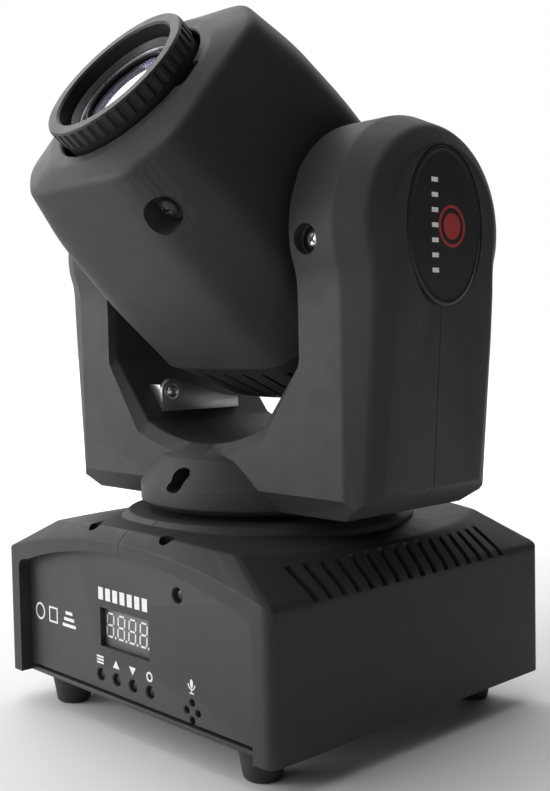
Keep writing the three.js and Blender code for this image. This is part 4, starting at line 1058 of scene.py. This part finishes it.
def build_badges():
    """Oval arm badges with a soft rim and a plain mark: a disc, a ring and a row of dashes."""
    stations = ((88.4, 0.2), (89.45, 0.2), (89.75, 1.0), (89.55, 2.2), (89.6, 6))
    rings = [badge_oval(*station) for station in stations]
    badge = loft(soften(rings, [0.3, 0.4, 0.6], 4))
    inside, outside = MARK_X
    depth = outside - inside
    disc = slab_x([(y + 3.2, z + BADGE_Z) for y, z in ellipse(4.4, 4.4, 48)], inside, outside)
    ring = placed(lathe([(6, 0), (7, 0), (7, depth), (6, depth)], 64), TO_X, (inside, 3.2, BADGE_Z))
    bars = [bar_outline(-5.6, BADGE_Z + (i - 3) * 4.9, 1.6, 0.75) for i in range(7)]
    dashes = [slab_x(bar, inside, outside) for bar in bars]
    red, white = merged([disc, ring]), merged(dashes)
    for side in ("left", "right"):
        parts = [badge, red, white]
        if side == "left":
            parts = [mirrored(part) for part in parts]
        piece(f"oval_badge_{side}", parts[0], "yoke", "badge_gloss", stands_for=[f"arm_badge_{side}"])
        piece(f"badge_disc_{side}", parts[1], "yoke", "badge_gloss", material=RED_INK)
        piece(f"badge_dashes_{side}", parts[2], "yoke", "badge_gloss", material=WHITE_INK)


def build_gap_bracket():
    """The pressed steel bracket in the gap, with its folded lip and a cross screw."""
    outline = soften([
        (-23.4, 100), (17, 100), (17, 118.3), (9.8, 119.1), (-8.9, 124.2), (-18, 127), (-20.4, 126.6),
        (-23.4, 123.4), (-23.4, 100),
    ], [0.5, 0.8, 2, 2, 0.8, 0.8, 0.8], 4)[:-1]
    plate = slab_x(plain(outline), -38, -35.8)
    lip = slab_y([(-47, 117), (-38, 100), (-37, 124.6), (-44, 124.6)], -23.4, -21.8)
    standing = placed(common(join(plate, lip), gap_form()), (0, 0, 0.25))
    piece("floor_bracket", bevelled(standing, 0.3), "yoke", "steel", stands_for=["gap_bracket"])
    washer = rounded_lathe([(2.4, -0.2), (3.5, -0.2), (3.5, 0.5), (2.4, 0.5)], 0.15, 40)
    head = placed(cross_screw(2.5, 3), turn(15, "Z"), (0, 0, 0.2))
    screw = placed(merged([washer, head]), TO_X, (box_mm("gap_bracket")[1].x, -18.6, 122.2))
    piece("bracket_screw", screw, "yoke", "steel", material=SCREW_STEEL)


# ---------------- head


def facet_ring(half_x, half_y, height):
    """A ring round a rectangle with cut corners, softened all round."""
    power = 24
    angles = np.linspace(0, TURN, HEAD_RING_POINTS, False)
    across, along = np.abs(np.cos(angles)) / half_x, np.abs(np.sin(angles)) / half_y
    corner = (across + along) / (2 - HEAD_CHAMFER)
    reach = (across ** power + along ** power + corner ** power) ** (-1 / power)
    return np.column_stack([reach * np.cos(angles), reach * np.sin(angles), angles * 0 + height])


def circle_ring(radius, height):
    return np.array([(x, y, height) for x, y in ellipse(radius, radius, HEAD_RING_POINTS)])


def head_form(inset=0.0, rear=HEAD_REAR):
    rings = [
        facet_ring(49 - inset, 50.5 - inset, rear),
        facet_ring(50.5 - inset, 49.3 - inset, 25),
        facet_ring(47.8 - inset, 46.6 - inset, 55),
        facet_ring(43.1 - inset, 42.3 - inset, 76.7 - inset * 0.5),
        circle_ring(36 - inset * 0.5, HEAD_FACE - inset),
        circle_ring(20, HEAD_FACE - inset),
    ]
    if inset:
        return loft(rings)
    return loft(soften(rings, [12, 6, 2.4, 0.9], 6))


def build_head_shells():
    x, u = HEAD_SCREW
    form = head_form()
    boss = placed(rod(8, 30, 46, 40), turn(90, "X"), (x, 0, u))
    pocket = placed(rod(HEAD_POCKET_R, 38, 60, 56), turn(90, "X"), (x, 0, u))
    notch = prism(rounded_box(HEAD_MOUTH_R + 4, 6, 2.5), HEAD_FACE - 1.6, 100)
    wide, edge_u = HEAD_MOUTH_R + 0.7, HEAD_FACE - 0.5
    mouth_edge = lathe([
        (0, edge_u), (HEAD_MOUTH_R, edge_u), (wide, HEAD_FACE + 0.2), (wide, 100), (0, 100),
    ], 144)
    half = block((-FAR, -FAR, -FAR), (FAR, -HEAD_SEAM / 2, FAR))
    hollow = cut(form, head_form(WALL, HEAD_REAR - 1))
    shell = cut(
        join(common(hollow, half), common(boss, form)),
        pocket,
        rod(HEAD_MOUTH_R, 60, 100, 144),
        mouth_edge,
        notch,
        placed(rod(TILT_HOLE_R, -60, 60, 48), TO_X),
    )
    upper = placed(shell.copy(), turn(180, "Z"))
    piece("head_cover_lower", shell, "head", "housing", HEAD_PLACE, stands_for=["head_shell_lower"])
    piece("head_cover_upper", upper, "head", "housing", HEAD_PLACE, stands_for=["head_shell_upper"])
    for name, spin in (("lower", 0), ("upper", 180)):
        screw = placed(cross_screw(3.4, 6), turn(90, "X"), (x, -38.3, u), turn(spin, "Z"))
        piece(f"head_screw_{name}", screw, "head", "dark_steel", HEAD_PLACE)


def build_rear_cap():
    front = HEAD_REAR - SEAM
    rings = [
        facet_ring(24, 24.5, CAP_REAR),
        facet_ring(33, 33.5, CAP_REAR),
        facet_ring(35.5, 36, CAP_REAR + 3),
        facet_ring(40.5, 41.3, -41.5),
        facet_ring(48.4, 49.9, front),
    ]
    inner = [
        facet_ring(33 - WALL, 33.5 - WALL, CAP_REAR + WALL),
        facet_ring(40.5 - WALL, 41.3 - WALL, -41.5),
        facet_ring(48.4 - WALL, 49.9 - WALL, front + 1),
    ]
    slots = []
    for i in range(CAP_SLOTS):
        slot = block((30, -0.95, -46), (70, 0.95, -19))
        slots.append(placed(slot, turn((i + 0.5) / CAP_SLOTS * 360, "Z")))
    for y in (-15, -7.5, 0, 7.5, 15):
        half = math.sqrt(22 ** 2 - y ** 2)
        slots.append(placed(prism(rounded_box(half, 1.6, 1.5), CAP_REAR - 5, CAP_REAR + 5), (0, y, 0)))
    cap = cut(loft(soften(rings, [0.8, 1.5, 3], 4)), loft(inner), merged(slots))
    piece("vented_cap", cap, "head", "housing", HEAD_PLACE, stands_for=["head_rear_cap"])


def build_focus_ring():
    waist, edge = FOCUS_R - 0.7, FOCUS_LIP - 0.7
    profile = [
        (25.9, 68), (28.5, 68), (28.5, 76), (FOCUS_R - 0.9, 78.5), (waist, 82.0), (waist, 82.4),
        (FOCUS_R, 82.7), (FOCUS_R, 87.9), (FOCUS_R - 0.15, edge), (FOCUS_R - 0.6, FOCUS_LIP),
        (FOCUS_BORE_R + 0.6, FOCUS_LIP), (FOCUS_BORE_R, FOCUS_LIP - 0.8), (FOCUS_BORE_R, 76.5), (25.9, 75.5),
    ]
    front_band = [index for index, (radius, _) in enumerate(profile) if radius == FOCUS_R]

    def knurl(angle, index):
        """Grooves between the ridges, cut down to the waist and only round the front band."""
        if index not in front_band:
            return 0.0
        phase = angle * FOCUS_RIDGES / TURN % 1.0
        groove = max(0.0, 1 - abs(phase - 0.5) / 0.3)
        return (waist - FOCUS_R) * groove * (2 - groove)

    ring = lathe(profile, FOCUS_RIDGES * 16, wave=knurl)
    piece("knurled_focus_ring", ring, "focus_grip", "housing", HEAD_PLACE, RING_PLASTIC, ["focus_ring"], 30)


def build_lens():
    """The biconvex front lens in its sliding tube, with a black retainer and a thin metal rim."""
    cell = rounded_lathe([
        (18, 62), (23.4, 62), (23.4, 84), (22.6, 84.5), (LENS_R + 1.2, 83.2), (LENS_R + 0.4, 82.6),
        (LENS_R + 0.4, 74.2), (18, 73.2),
    ], 0.3, 128)
    piece("lens_tube", cell, "lens_carrier", "inner_plastic", HEAD_PLACE, stands_for=["lens_cell"])
    retainer = rounded_lathe([
        (16.9, 82.5), (17.4, 82.6), (LENS_R - 0.6, 81.3), (LENS_R - 0.6, 80.4), (17.3, 81.2), (16.8, 81.7),
    ], 0.1, 128)
    piece("lens_retainer", retainer, "lens_carrier", "inner_plastic", HEAD_PLACE)
    rim = rounded_lathe([
        (LENS_R + 0.35, 81.2), (LENS_R + 0.35, 82.5), (LENS_R - 0.35, 82.4), (LENS_R - 0.75, 81.6),
        (LENS_R - 0.2, 80.6),
    ], 0.12, 128)
    piece("lens_rim", rim, "lens_carrier", "lens_glass", HEAD_PLACE, material=LENS_RIM)
    half = [(r, LENS_BULGE * (1 - (r / LENS_R) ** 2) + LENS_EDGE) for r in LENS_R * np.linspace(0, 1, 13)]
    lower = [(r, LENS_MIDDLE - bulge) for r, bulge in half]
    upper = [(r, LENS_MIDDLE + bulge) for r, bulge in reversed(half)]
    glass = lathe(lower + upper, 128)
    piece("objective_lens", glass, "lens_carrier", "lens_glass", HEAD_PLACE, stands_for=["front_lens"])


# ---------------- studio


def build_floor():
    """A pale floor that glows a little on its far side, as the lit end of a white sweep does."""
    corners = [(-8, -8, 0), (8, -8, 0), (8, 8, 0), (-8, 8, 0)]
    floor = add_object("floor", mesh_of(corners, [(0, 1, 2, 3)]))
    nodes = material_nodes("pale_floor")
    nodes.drive(
        Base_Color=nodes.ramp(nodes.noise(2), 0.82, 0.84),
        Emission_Strength=nodes.fade(nodes.where, (-0.73, 0.68, 0), 0.1, 0.9, 0.0, 0.7),
    )
    nodes.set(Roughness=0.9, Specular_IOR_Level=0.1, Emission_Color=WHITE)
    floor.data.materials.append(nodes.owner)


def build_world():
    """A white backdrop that lights the object mostly from its left."""
    world = bpy.data.worlds.new("studio")
    bpy.context.scene.world = world
    nodes = Nodes(world)
    light = nodes.tree.nodes["Background"]
    light.inputs["Color"].default_value = WHITE
    sky = nodes.where.node.outputs["Generated"]
    bright_side = Vector((-0.93, -0.25, 0.22)).normalized()
    nodes.tree.links.new(nodes.fade(sky, bright_side, -0.3, 0.25, 0.02, 1.05), light.inputs["Strength"])
    backdrop = nodes.add("Background")
    backdrop.inputs["Color"].default_value = WHITE
    either = nodes.add("MixShader", {
        "Fac": nodes.add("LightPath").outputs["Is Camera Ray"],
        1: light.outputs["Background"],
        2: backdrop.outputs["Background"],
    })
    nodes.tree.links.new(either.outputs["Shader"], nodes.tree.nodes["World Output"].inputs["Surface"])


def build_softbox(name, position, size, watts):
    """A square soft light aimed at the object's middle."""
    light = bpy.data.lights.new(name, "AREA")
    light.size = size
    light.energy = watts
    lamp = add_object(name, light)
    lamp.visible_camera = False
    lamp.location = position
    lamp.rotation_euler = (STUDIO_MIDDLE - Vector(position)).to_track_quat("-Z", "Y").to_euler()


def build_camera():
    """The photograph's view: from the front right and a little above, about 0.43 m away."""
    camera = add_object("camera", bpy.data.cameras.new("camera"))
    aim = turn(CAMERA_YAW, "Z") @ turn(90 - CAMERA_PITCH, "X") @ turn(CAMERA_ROLL, "Z")
    camera.matrix_world = Matrix.Translation(Vector(CAMERA_AT) + Vector((0, PAN_Y * MM, 0))) @ aim
    camera.data.sensor_width = 36
    camera.data.lens = CAMERA_LENS
    camera.data.clip_start = 0.01
    bpy.context.scene.camera = camera
    bpy.context.scene.view_settings.view_transform = "Standard"


build_base_shells()
build_front_panel()
build_panel_marks()
build_display()
build_buttons()
build_sensor()
build_feet()
build_base_plate()
build_rear()
build_yoke_shells()
build_arm_screws()
build_badges()
build_gap_bracket()
build_head_shells()
build_rear_cap()
build_focus_ring()
build_lens()
build_floor()
build_world()
build_softbox("lens_softbox", (-0.95, 0.1, 0.95), 0.9, 6.0)
build_softbox("front_softbox", (-1.1, -1.2, 0.34), 0.9, 15.5)
build_softbox("top_softbox", (-0.2, 0.3, 1.5), 1.4, 4.6)
build_camera()
